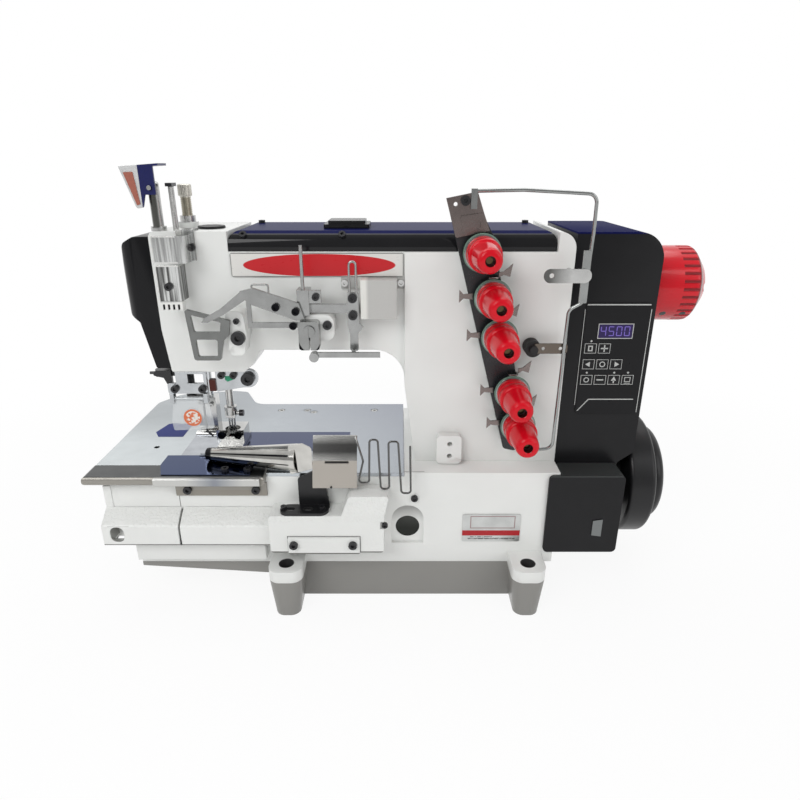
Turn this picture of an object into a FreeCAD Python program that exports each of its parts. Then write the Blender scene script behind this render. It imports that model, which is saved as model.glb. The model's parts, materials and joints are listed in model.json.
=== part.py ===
import FreeCAD, Part
import math
import os

# Industrial flatbed interlock sewing machine with a tape binder.
# Millimetres. X runs to the handwheel, -Y to the operator and Z up. The origin
# is centred between the four mounting lugs, level with their undersides.

# ---- mounting lugs and oil pan
LUG_SPACING_X = 250.0
LUG_SPACING_Y = 216.0
LUG_HOLE_R = 7.5
LUG_HALF_W = 17.5
LUG_FOOT_HALF_W = 13.0
LUG_REACH = 16.0
LUG_CAP = 13.0
PAN_HEIGHT = 43.0
PAN_WALL = 5.0
PAN_LEFT = -284.0
PAN_LEFT_DEPTH = 15.0

# ---- bed casting
BED_TOP = 150.0
BED_HALF_DEPTH = 87.0
BED_LEFT = -303.0
BED_RIGHT = 155.0
BED_WALL = 7.0
WEB_T = 10.0
PLATE_T = 4.0
PLATE_BACK = BED_HALF_DEPTH + 14
PLATE_LEFT = -323.0
PLATE_LOBE_BACK = BED_HALF_DEPTH + 63
PLATE_LOBE_RIGHT = -216.0
LEDGE_FRONT = -BED_HALF_DEPTH - 8
LEDGE_LOW = 51.0
LEDGE_TOP = 75.0
NOSE_FRONT = -BED_HALF_DEPTH - 10
NOSE_BACK = -BED_HALF_DEPTH + 17
NOSE_LEFT = PLATE_LEFT - 3
NOSE_H = 11.0
SEAM_X = -233.0

# ---- arm, column and head
ARM_FRONT = -55.0
ARM_BACK = 45.0
ARM_UNDER = 270.0
ARM_TOP = 383.0
ARM_WALL = 8.0
HEAD_LEFT = -240.0
HEAD_RIGHT = -163.0
HEAD_UNDER = 247.0
COLUMN_LEFT = -3.0
COLUMN_FRONT = -60.0
COLUMN_FOOT_IN = 11.0
THROAT_R = 30.0
COVER_RIM = 365.0
COVER_LEFT = -167.0
COVER_RIGHT = 138.5
COVER_WALL = 3.0
COVER_FRONT_R = 14.0

# ---- shafts
SHAFT_R = 8.0
UPPER_Z = 326.0
LOWER_Z = 107.0
RUN_GAP = 0.05
FREE_GAP = 0.4
BELT_X = 112.0
BELT_W = 16.0
BELT_T = 2.5
SPROCKET_R = 30.0
TEETH = 24

# ---- needle and presser bars
NEEDLE_X = -191.0
NEEDLE_Y = -22.0
NEEDLE_BAR_R = 4.0
NEEDLE_PITCH = 2.8
PRESSER_X = -216.0
PRESSER_Y = -10.0
PRESSER_BAR_R = 4.5

# ---- looper, feed bar and oil sight in the bed
LOOPER_X = NEEDLE_X - 4
LOOPER_Z = 72.0
LOOPER_SHAFT_R = 5.0
LOOPER_RAIL = -42.0
FEED_BAR_X = NEEDLE_X
FEED_BAR_Z = 130.0
FEED_GUIDE_Y = 40.0
SIGHT_X = 0.5
SIGHT_Z = 85.5
SIGHT_R = 12.5
SIGHT_RECESS = 3.0

# ---- control box, motor and handwheel
BOX_RIGHT = 237.0
BOX_FOOT_RIGHT = 221.0
BOX_BOTTOM = 57.0
BOX_LEDGE = 148.0
BOX_WALL = 3.0
FLANGE_LEFT = 144.0
FLANGE_T = 3.0
MOTOR_R = 68.0
MOTOR_CAP_R = 54.0
MOTOR_END = 281.0
WHEEL_R = 38.0
WHEEL_IN = 240.0
WHEEL_OUT = 299.0

# ---- thread tension row: place of each post on the column, from the top
TENSION_POSTS = [(66.0, 367.0), (77.5, 326.6), (86.0, 289.5), (101.6, 234.0), (109.6, 199.0)]
STRIP_T = 3.0
STRIP_GAP = 8.0
DISC_R = 12.5
KNOB_BASE_R = 15.3
KNOB_FACE_R = 11.0
KNOB_L = 50.0
POST_R = 3.0

# ---- plates, front covers and front block
NEEDLE_PLATE_L = -242.0
NEEDLE_PLATE_R = -157.0
NEEDLE_PLATE_BACK = 12.0
FRONT_PLATE_L = -255.0
FRONT_PLATE_BACK = NOSE_BACK + 20
FRONT_PLATE_T = 1.0
FEED_ROWS = (-9.0, 9.0)
BULGE_Y = -BED_HALF_DEPTH - 18
BULGE_TOP = 111.0
EAR_W = 1.6
HINGE_Y = -BED_HALF_DEPTH - 13.5
HINGE_Z = 79.5
HINGE_BARREL_R = 3.5
HINGE_PIN_R = 1.5
FRONT_BLOCK_L = -139.0
FRONT_BLOCK_R = -24.0
FRONT_BLOCK_Y = -BED_HALF_DEPTH - 25
BLOCK_TOP = 115.0
BLOCK_CROWN = 137.0

# ---- parts in and on the head
SHELF_Z = 312.0
CRANK_R = 14.0
PLUG_X = -190.0
PLUG_Y = -22.0
PLUG_R = 13.0
PLUG_SHANK_R = 9.0
ADJUST_R = 5.0
LEVER_X = -91.0
LEVER_Z = 297.4
LEVER_SHAFT_R = 5.5
LIFT_X = -232.0
LIFT_Y = -46.0
LIFT_H = 38.0
SPREADER_X = -226.0
SPREADER_Y = -34.0
SPREADER_R = 4.0
GUARD_HINGE_Z = 219.0
GUARD_L = -242.0
GUARD_R = -199.0

# ---- tape binder and tape guide
BINDER_Y = -BED_HALF_DEPTH + 3
BINDER_Z = BED_TOP + 15.6
BINDER_MOUTH_X = -109.0
BINDER_TIP_X = -208.0
BINDER_MOUTH_R = 14.6
BINDER_TIP_R = 6.5
BINDER_SHEET = 1.2
GUIDE_Y = -BED_HALF_DEPTH - 16.5
GUIDE_T = 1.5
GUIDE_L = -94.0
GUIDE_R = -50.0

# ---- control panel
PANEL_L = 170.5
PANEL_R = 233.5
PANEL_LOW = 204.0
PANEL_HIGH = 318.0
DISPLAY_L = 184.3
DISPLAY_R = 217.0
DISPLAY_LOW = 283.9
DISPLAY_HIGH = 297.5
KEY_ROWS = ((172.5, 2), (172.3, 3), (172.0, 4))
KEY_W = 11.6
KEY_H = 10.0
KEY_PITCH = 13.6
KEY_TOP = 278.4
KEY_DROP = 16.2

# ---- screws and wires
SCREW_HEAD_R = 4.3
SCREW_HEAD_H = 3.0
SCREW_SHANK_R = 2.2
WIRE_R = 1.6

V = FreeCAD.Vector
X_AXIS = V(1, 0, 0)
Z_AXIS = V(0, 0, 1)

nodes = {}


# ---------------------------------------------------------------- helpers
def box(x0, x1, y0, y1, z0, z1):
    return Part.makeBox(x1 - x0, y1 - y0, z1 - z0, V(x0, y0, z0))


def rod(radius, start, end):
    line = V(*end) - V(*start)
    return Part.makeCylinder(radius, line.Length, V(*start), line)


def corner_wire(points, place):
    """Closed outline through 2-D corners; a third number rounds its corner."""
    flat = [V(p[0], p[1], 0) for p in points]
    starts = []
    ends = []
    mids = []
    for i, p in enumerate(points):
        here = flat[i]
        radius = p[2] if len(p) > 2 else 0.0
        to_last = (flat[i - 1] - here).normalize()
        to_next = (flat[(i + 1) % len(flat)] - here).normalize()
        if radius == 0.0:
            starts.append(here)
            ends.append(here)
            mids.append(None)
            continue
        half = to_last.getAngle(to_next) / 2
        reach = radius / math.tan(half)
        inward = (to_last + to_next).normalize()
        starts.append(here + to_last * reach)
        ends.append(here + to_next * reach)
        mids.append(here + inward * (radius / math.sin(half) - radius))
    edges = []
    for i, mid in enumerate(mids):
        if mid is not None:
            arc = [place(q.x, q.y) for q in (starts[i], mid, ends[i])]
            edges.append(Part.Arc(*arc).toShape())
        following = starts[(i + 1) % len(starts)]
        if (following - ends[i]).Length > 1e-6:
            run = [place(q.x, q.y) for q in (ends[i], following)]
            edges.append(Part.LineSegment(*run).toShape())
    return Part.Wire(edges)


def front_prism(points, y0, y1):
    wire = corner_wire(points, lambda a, b: V(a, y0, b))
    return Part.Face(wire).extrude(V(0, y1 - y0, 0))


def side_prism(points, x0, x1):
    wire = corner_wire(points, lambda a, b: V(x0, a, b))
    return Part.Face(wire).extrude(V(x1 - x0, 0, 0))


def plan_prism(points, z0, z1):
    wire = corner_wire(points, lambda a, b: V(a, b, z0))
    return Part.Face(wire).extrude(V(0, 0, z1 - z0))


def rectangle(a0, a1, b0, b1, radius=0.0):
    return [(a0, b0, radius), (a1, b0, radius), (a1, b1, radius), (a0, b1, radius)]


def turned(profile, origin, axis):
    """Solid of revolution from (distance along the axis, radius) corners."""
    side = Z_AXIS if abs(axis.z) < 0.5 else X_AXIS
    start = V(*origin)
    wire = corner_wire(profile, lambda a, b: start + axis * a + side * b)
    return Part.Face(wire).revolve(start, axis, 360)


def tube(points, radius, bend):
    """Round wire along straight runs joined by tangent arcs."""
    route = [V(*p) for p in points]
    edges = []
    last = route[0]
    for i in range(1, len(route) - 1):
        here = route[i]
        back = (route[i - 1] - here).normalize()
        ahead = (route[i + 1] - here).normalize()
        half = back.getAngle(ahead) / 2
        reach = bend / math.tan(half)
        inward = (back + ahead).normalize()
        a = here + back * reach
        b = here + ahead * reach
        mid = here + inward * (bend / math.sin(half) - bend)
        edges.append(Part.LineSegment(last, a).toShape())
        edges.append(Part.Arc(a, mid, b).toShape())
        last = b
    edges.append(Part.LineSegment(last, route[-1]).toShape())
    spine = Part.Wire(edges)
    ring = Part.Wire(Part.makeCircle(radius, route[0], route[1] - route[0]))
    return spine.makePipeShell([ring], True, False)


def add(name, *shapes):
    nodes.setdefault(name, []).extend(shapes)


def join(shapes):
    whole = shapes[0]
    if len(shapes) > 1:
        whole = whole.multiFuse(shapes[1:])
    return whole.removeSplitter()


def cut_node(name, cutter):
    nodes[name] = [shape.cut(cutter) for shape in nodes[name]]


def screw(point, axis, hosts, group="black_screws", head_r=SCREW_HEAD_R, reach=6.0, head_h=SCREW_HEAD_H):
    """Socket-head screw standing on a face, with its shank in a drilled hole."""
    foot = V(*point)
    head = Part.makeCylinder(head_r, head_h, foot, axis)
    socket = Part.makeCylinder(head_r * 0.45, head_h * 0.6, foot + axis * head_h * 0.4, axis)
    shank = Part.makeCylinder(SCREW_SHANK_R, reach, foot - axis * reach, axis)
    hole = Part.makeCylinder(SCREW_SHANK_R + RUN_GAP, reach + 1, foot - axis * (reach + 0.5), axis)
    for host in hosts:
        cut_node(host, hole)
    add(group, head.cut(socket).fuse(shank))


# ---------------------------------------------------------------- bed
def lug(x, side):
    """Outline of one lug: side is -1 at the front and +1 at the back."""
    hole_y = side * LUG_SPACING_Y / 2
    end = hole_y + side * LUG_REACH
    foot_end = hole_y + side * (LUG_REACH - 3)
    wall = side * (BED_HALF_DEPTH - PAN_WALL)
    wide = [
        (x - LUG_HALF_W, wall), (x - LUG_HALF_W, end, 12), (x + LUG_HALF_W, end, 12), (x + LUG_HALF_W, wall)
    ]
    slim = [
        (x - LUG_FOOT_HALF_W, wall),
        (x - LUG_FOOT_HALF_W, foot_end, 10),
        (x + LUG_FOOT_HALF_W, foot_end, 10),
        (x + LUG_FOOT_HALF_W, wall),
    ]
    top = corner_wire(wide, lambda a, b: V(a, b, PAN_HEIGHT))
    foot = corner_wire(slim, lambda a, b: V(a, b, 0))
    lower = Part.makeLoft([foot, top], True, True)
    upper = plan_prism(wide, PAN_HEIGHT, PAN_HEIGHT + LUG_CAP)
    hole = rod(LUG_HOLE_R, (x, hole_y, -1), (x, hole_y, PAN_HEIGHT + LUG_CAP + 1))
    return lower, upper, hole


def bed():
    front = -BED_HALF_DEPTH
    back = BED_HALF_DEPTH
    step_x = -LUG_SPACING_X / 2 - LUG_HALF_W
    pan_right = LUG_SPACING_X / 2 + LUG_HALF_W
    slant = PAN_HEIGHT - PAN_LEFT_DEPTH
    low = [
        (PAN_LEFT, PAN_HEIGHT),
        (PAN_LEFT, PAN_HEIGHT - 5),
        (step_x, slant),
        (step_x, 0, 4),
        (pan_right, 0, 4),
        (pan_right, PAN_HEIGHT),
    ]
    pan = front_prism(low, front, back)
    deep = box(
        step_x + PAN_WALL, pan_right - PAN_WALL, front + PAN_WALL, back - PAN_WALL, PAN_WALL, PAN_HEIGHT
    )
    shallow = front_prism(
        [
            (PAN_LEFT + PAN_WALL, PAN_HEIGHT),
            (step_x + PAN_WALL + 1, PAN_HEIGHT),
            (step_x + PAN_WALL + 1, slant + PAN_WALL),
        ],
        front + PAN_WALL,
        back - PAN_WALL,
    )
    pan = pan.cut(deep).cut(shallow)

    cast_top = BED_TOP - PLATE_T
    inner_front = front + BED_WALL
    inner_back = back - BED_WALL
    inner_left = PAN_LEFT + BED_WALL
    body = box(BED_LEFT, BED_RIGHT, front, back, LEDGE_TOP, cast_top)
    body = body.fuse(box(PAN_LEFT, BED_RIGHT, front, back, PAN_HEIGHT, LEDGE_TOP))
    body = body.fuse(box(COLUMN_LEFT, BED_RIGHT, front, back, cast_top, BED_TOP))
    body = body.fuse(box(PAN_LEFT, step_x - 6, LEDGE_FRONT, front, LEDGE_LOW, LEDGE_TOP))
    floor_z = cast_top - BED_WALL
    body = body.cut(box(inner_left, BED_RIGHT - BED_WALL, inner_front, inner_back, PAN_HEIGHT, floor_z))
    # the bed stands out past the pan at the left, on its own floor
    body = body.cut(box(BED_LEFT + BED_WALL, inner_left, inner_front, inner_back, LEDGE_TOP + 5, floor_z))
    # openings under the plates, for the belt, behind the front covers and at the end
    body = body.cut(box(BED_LEFT + 14, step_x + 70, -60, 60, floor_z, cast_top))
    body = body.cut(box(BELT_X - 42, BED_RIGHT - 15, -48, 48, floor_z, BED_TOP))
    body = body.cut(box(BED_LEFT + 14, step_x - 8, front, inner_front, LEDGE_TOP + 6, 108))
    body = body.cut(box(BED_LEFT, BED_LEFT + BED_WALL, -70, 70, LEDGE_TOP + 5, 132))
    # bearing webs across the bed, and two rails under the looper shaft
    webs = [
        box(step_x + 12, step_x + 12 + WEB_T, inner_front, inner_back, PAN_HEIGHT, floor_z),
        box(40, 40 + WEB_T, inner_front, inner_back, PAN_HEIGHT, floor_z),
        box(inner_left, step_x + 12, LOOPER_RAIL, LOOPER_RAIL + 8, PAN_HEIGHT, 88),
        box(inner_left, step_x + 12, -LOOPER_RAIL - 8, -LOOPER_RAIL, PAN_HEIGHT, 88),
        box(FEED_BAR_X - 10, FEED_BAR_X + 10, FEED_GUIDE_Y, inner_back, PAN_HEIGHT + 60, FEED_BAR_Z - 0.3),
    ]
    body = body.multiFuse(webs)
    body = body.cut(rod(SHAFT_R + RUN_GAP, (step_x, 0, LOWER_Z), (BED_RIGHT + 1, 0, LOWER_Z)))
    body = body.cut(rod(LOOPER_SHAFT_R + RUN_GAP, (LOOPER_X, -45, LOOPER_Z), (LOOPER_X, 45, LOOPER_Z)))
    # arched recess with the round sight bore in the front wall
    arch = [
        (SIGHT_X - 16.5, SIGHT_Z - 19),
        (SIGHT_X + 16.5, SIGHT_Z - 19),
        (SIGHT_X + 16.5, SIGHT_Z + 26.5, 16),
        (SIGHT_X - 16.5, SIGHT_Z + 26.5, 16),
    ]
    body = body.cut(front_prism(arch, front, front + SIGHT_RECESS))
    body = body.cut(rod(SIGHT_R, (SIGHT_X, front - 1, SIGHT_Z), (SIGHT_X, inner_front + 1, SIGHT_Z)))
    glass = rod(SIGHT_R, (SIGHT_X, front + SIGHT_RECESS + 0.5, SIGHT_Z), (SIGHT_X, inner_front, SIGHT_Z))
    add("sight_glass", glass)

    holes = []
    for side in (-1, 1):
        for x in (-LUG_SPACING_X / 2, LUG_SPACING_X / 2):
            lower, upper, hole = lug(x, side)
            wall = box(
                x - 30, x + 30, -BED_HALF_DEPTH + 0.01, BED_HALF_DEPTH - 0.01, -1, PAN_HEIGHT + LUG_CAP + 1
            )
            pan = pan.fuse(lower.cut(wall))
            body = body.fuse(upper.cut(wall))
            holes.append(hole)
    for hole in holes:
        pan = pan.cut(hole)
        body = body.cut(hole)
    add("oil_pan", pan.removeSplitter())
    add("bed_casting", body.removeSplitter())


def plates():
    top = BED_TOP
    under = BED_TOP - PLATE_T
    right = COLUMN_LEFT - 0.2
    outline = [
        (PLATE_LEFT, NOSE_BACK),
        (FRONT_BLOCK_L - 4, NOSE_BACK),
        (FRONT_BLOCK_L - 4, -BED_HALF_DEPTH),
        (right, -BED_HALF_DEPTH),
        (right, PLATE_BACK),
        (PLATE_LOBE_RIGHT + 22, PLATE_BACK, 18),
        (PLATE_LOBE_RIGHT, PLATE_LOBE_BACK - 4, 8),
        (PLATE_LOBE_RIGHT - 20, PLATE_LOBE_BACK, 12),
        (PLATE_LEFT + 20, PLATE_LOBE_BACK - 14, 16),
        (PLATE_LEFT, PLATE_LOBE_BACK - 44, 20),
    ]
    plate = plan_prism(outline, under, top)
    plate = plate.cut(box(NEEDLE_PLATE_L, NEEDLE_PLATE_R, NOSE_BACK - 1, NEEDLE_PLATE_BACK, under, top))
    plate = plate.cut(rod(3, (-275.6, -27.4, under - 1), (-275.6, -27.4, top + 1)))
    add("cloth_plate", plate)
    shelf = plan_prism(
        [
            (PLATE_LEFT + 25, BED_HALF_DEPTH),
            (PLATE_LOBE_RIGHT - 8, BED_HALF_DEPTH),
            (PLATE_LOBE_RIGHT - 12, PLATE_LOBE_BACK - 10, 8),
            (PLATE_LEFT + 25, PLATE_LOBE_BACK - 20, 14),
        ],
        under - 16,
        under,
    )
    nodes["bed_casting"] = [join(nodes["bed_casting"] + [shelf])]
    for x, y in ((-157.7, 80.0), (-125.0, 80.0), (-116.0, 74.0), (-40.0, 80.0)):
        well = rod(4.5, (x, y, top - 2.6), (x, y, top + 1))
        cut_node("cloth_plate", well)
        screw((x, y, top - 2.6), Z_AXIS, ["cloth_plate", "bed_casting"], "steel_screws", 3.8, 4.0, 2.4)

    rail_low = top - NOSE_H + 1
    step = [
        (NOSE_FRONT, rail_low, 4),
        (-BED_HALF_DEPTH, rail_low),
        (-BED_HALF_DEPTH, under),
        (NOSE_BACK, under),
        (NOSE_BACK, top),
        (NOSE_FRONT, top, 4),
    ]
    rail = side_prism(step, NOSE_LEFT, FRONT_BLOCK_L - 4)
    ends = front_prism(rectangle(NOSE_LEFT, FRONT_BLOCK_L - 4, rail_low, top, 4), NOSE_FRONT, NOSE_BACK)
    add("nose_rail", rail.common(ends))
    strip = [(NOSE_FRONT - 4, top - 8, 1), (NOSE_FRONT, top - 8), (NOSE_FRONT, top), (NOSE_FRONT - 4, top, 1)]
    add("nose_rail", side_prism(strip, NOSE_LEFT + 73, FRONT_BLOCK_L - 8).cut(rail))
    clamp_l = -236.0
    clamp = box(clamp_l, FRONT_BLOCK_L - 4, -BED_HALF_DEPTH - 2, -BED_HALF_DEPTH, top - 25, rail_low)
    add("nose_rail", clamp)
    for x in (clamp_l + 12.5, FRONT_BLOCK_L - 15):
        screw((x, -BED_HALF_DEPTH - 2, top - 18), V(0, -1, 0), ["nose_rail", "bed_casting"])

    # needle plate with the needle slot and two feed slots, and the thin plate in front of it
    needle_top = top + 0.4
    needle_plate = box(NEEDLE_PLATE_L, NEEDLE_PLATE_R, NOSE_BACK, NEEDLE_PLATE_BACK, under, needle_top)
    for x in FEED_ROWS:
        feed_slot = rectangle(FEED_BAR_X + x - 2.5, FEED_BAR_X + x + 2.5, NEEDLE_Y - 20, NEEDLE_Y + 20)
        needle_plate = needle_plate.cut(plan_prism(feed_slot, under - 1, top + 1))
    half = NEEDLE_PITCH + 1.5
    slot = rectangle(NEEDLE_X - half, NEEDLE_X + half, NEEDLE_Y - 2.5, NEEDLE_Y + 2.5)
    add("needle_plate", needle_plate.cut(plan_prism(slot, under - 1, top + 1)))
    front_plate = plan_prism(
        [
            (FRONT_PLATE_L + 8, NOSE_FRONT + 4),
            (NEEDLE_PLATE_R - 1, NOSE_FRONT + 4),
            (NEEDLE_PLATE_R - 1, FRONT_PLATE_BACK),
            (FRONT_PLATE_L, FRONT_PLATE_BACK),
            (FRONT_PLATE_L, NOSE_FRONT + 25),
        ],
        needle_top,
        needle_top + FRONT_PLATE_T,
    )
    add("needle_plate", front_plate)
    for x in (NEEDLE_PLATE_R - 28, NEEDLE_PLATE_R - 5):
        foot_z = needle_top + FRONT_PLATE_T
        screw((x, NOSE_FRONT + 13, foot_z), Z_AXIS, ["needle_plate", "nose_rail"], head_r=4.0, reach=5.0)
    slide = box(NEEDLE_PLATE_R + 0.2, -65, NOSE_BACK + 4, NEEDLE_PLATE_BACK - 2, top, top + 1.5)
    add("needle_plate", slide)


def covers():
    """Looper cover and side cover: bulging shells on the front of the bed."""
    wall = 3.0
    face = -BED_HALF_DEPTH - 0.3
    low = LEDGE_TOP + 0.4
    sill = HINGE_Y + HINGE_BARREL_R + 0.7
    outer = [
        (face, low + 12),
        (sill, low),
        (BULGE_Y, low, 1.5),
        (BULGE_Y, LEDGE_TOP + 23, 4),
        (face, BULGE_TOP),
    ]
    inner = [
        (face + 1, low - 1),
        (sill, low - 1),
        (sill, low + wall),
        (BULGE_Y + wall, low + wall),
        (BULGE_Y + wall, LEDGE_TOP + 22, 3),
        (face + 1, BULGE_TOP - wall - 2),
    ]
    right = FRONT_BLOCK_L - 0.6
    left = SEAM_X + EAR_W + 0.3
    looper_cover = side_prism(outer, left, right).cut(side_prism(inner, left + wall, right - wall))
    barrel = rod(HINGE_BARREL_R, (left, HINGE_Y, HINGE_Z), (right, HINGE_Y, HINGE_Z))
    looper_cover = looper_cover.fuse(barrel)
    looper_cover = looper_cover.cut(
        rod(HINGE_PIN_R + RUN_GAP, (left - 1, HINGE_Y, HINGE_Z), (right + 1, HINGE_Y, HINGE_Z))
    )
    add("looper_cover", looper_cover.removeSplitter())
    pin = rod(HINGE_PIN_R, (SEAM_X, HINGE_Y, HINGE_Z), (FRONT_BLOCK_L + 5, HINGE_Y, HINGE_Z))
    ear = box(SEAM_X, SEAM_X + EAR_W, HINGE_Y - 3, LEDGE_FRONT, HINGE_Z - 4, HINGE_Z + 3)
    ear = ear.fuse(box(SEAM_X, SEAM_X + EAR_W, HINGE_Y - 3, -BED_HALF_DEPTH, LEDGE_TOP, HINGE_Z + 3))
    ear = ear.cut(pin)
    add("cover_hinge", pin, ear)

    edge = SEAM_X - 0.3
    side = side_prism(outer, BED_LEFT - 1, edge)
    side = side.cut(side_prism(inner, BED_LEFT - 2, edge - wall))
    end_outer = [
        (BULGE_Y, LEDGE_TOP + 0.4, 1.5),
        (70, LEDGE_TOP + 0.4, 6),
        (70, BED_TOP - NOSE_H - 4, 6),
        (face, BED_TOP - NOSE_H - 4),
        (face, BULGE_TOP),
        (BULGE_Y, LEDGE_TOP + 23, 4),
    ]
    end = side_prism(end_outer, BED_LEFT - 8, BED_LEFT - 0.3)
    side = side.fuse(end)
    slot = front_prism(
        rectangle(BED_LEFT, BED_LEFT + 14, LEDGE_TOP + 5, LEDGE_TOP + 22, 6), BULGE_Y - 1, BULGE_Y + 4
    )
    side = side.cut(slot)
    add("side_cover", side.removeSplitter())


def front_block():
    """Cast cover standing out of the bed under the throat, with its own plate."""
    front = FRONT_BLOCK_Y
    back = -BED_HALF_DEPTH
    low = LEDGE_TOP - 3
    outline = [
        (FRONT_BLOCK_L, low, 3),
        (FRONT_BLOCK_R, low, 3),
        (FRONT_BLOCK_R + 1, BLOCK_TOP),
        (FRONT_BLOCK_R + 6, BLOCK_CROWN, 3),
        (FRONT_BLOCK_R - 34, BLOCK_CROWN, 4),
        (FRONT_BLOCK_R - 42, BLOCK_TOP),
        (FRONT_BLOCK_L, BLOCK_TOP, 4),
    ]
    block = front_prism(outline, front, back)
    block = block.cut(box(FRONT_BLOCK_L + 7, FRONT_BLOCK_R - 5, front + 6, back, low + 5, BLOCK_TOP - 5))
    block = block.cut(
        rod(
            HINGE_PIN_R + RUN_GAP,
            (FRONT_BLOCK_L - 1, HINGE_Y, HINGE_Z),
            (FRONT_BLOCK_L + 5.2, HINGE_Y, HINGE_Z),
        )
    )
    block = block.cut(box(FRONT_BLOCK_R - 3, FRONT_BLOCK_R + 1, front - 1, front + 3, 100, 108))
    add("front_block", block)
    plate = front_prism(rectangle(-120.5, -48, low, 91, 1.5), front - 2.5, front)
    add("front_block", plate)
    for x in (-114.6, -55.0):
        screw((x, front - 2.5, 83), V(0, -1, 0), ["front_block"])
    name_plate = front_prism(rectangle(58, 118.5, 69, 102, 1.5), back - 1, back)
    add("label_plates", name_plate)
    boss = front_prism(rectangle(30, 56, 151, 183, 5), COLUMN_FRONT - 9, COLUMN_FRONT)
    for z in (160.0, 173.5):
        boss = boss.cut(rod(2.5, (43.6, COLUMN_FRONT - 10, z), (43.6, COLUMN_FRONT - 1, z)))
    add("arm_bosses", boss)


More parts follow.
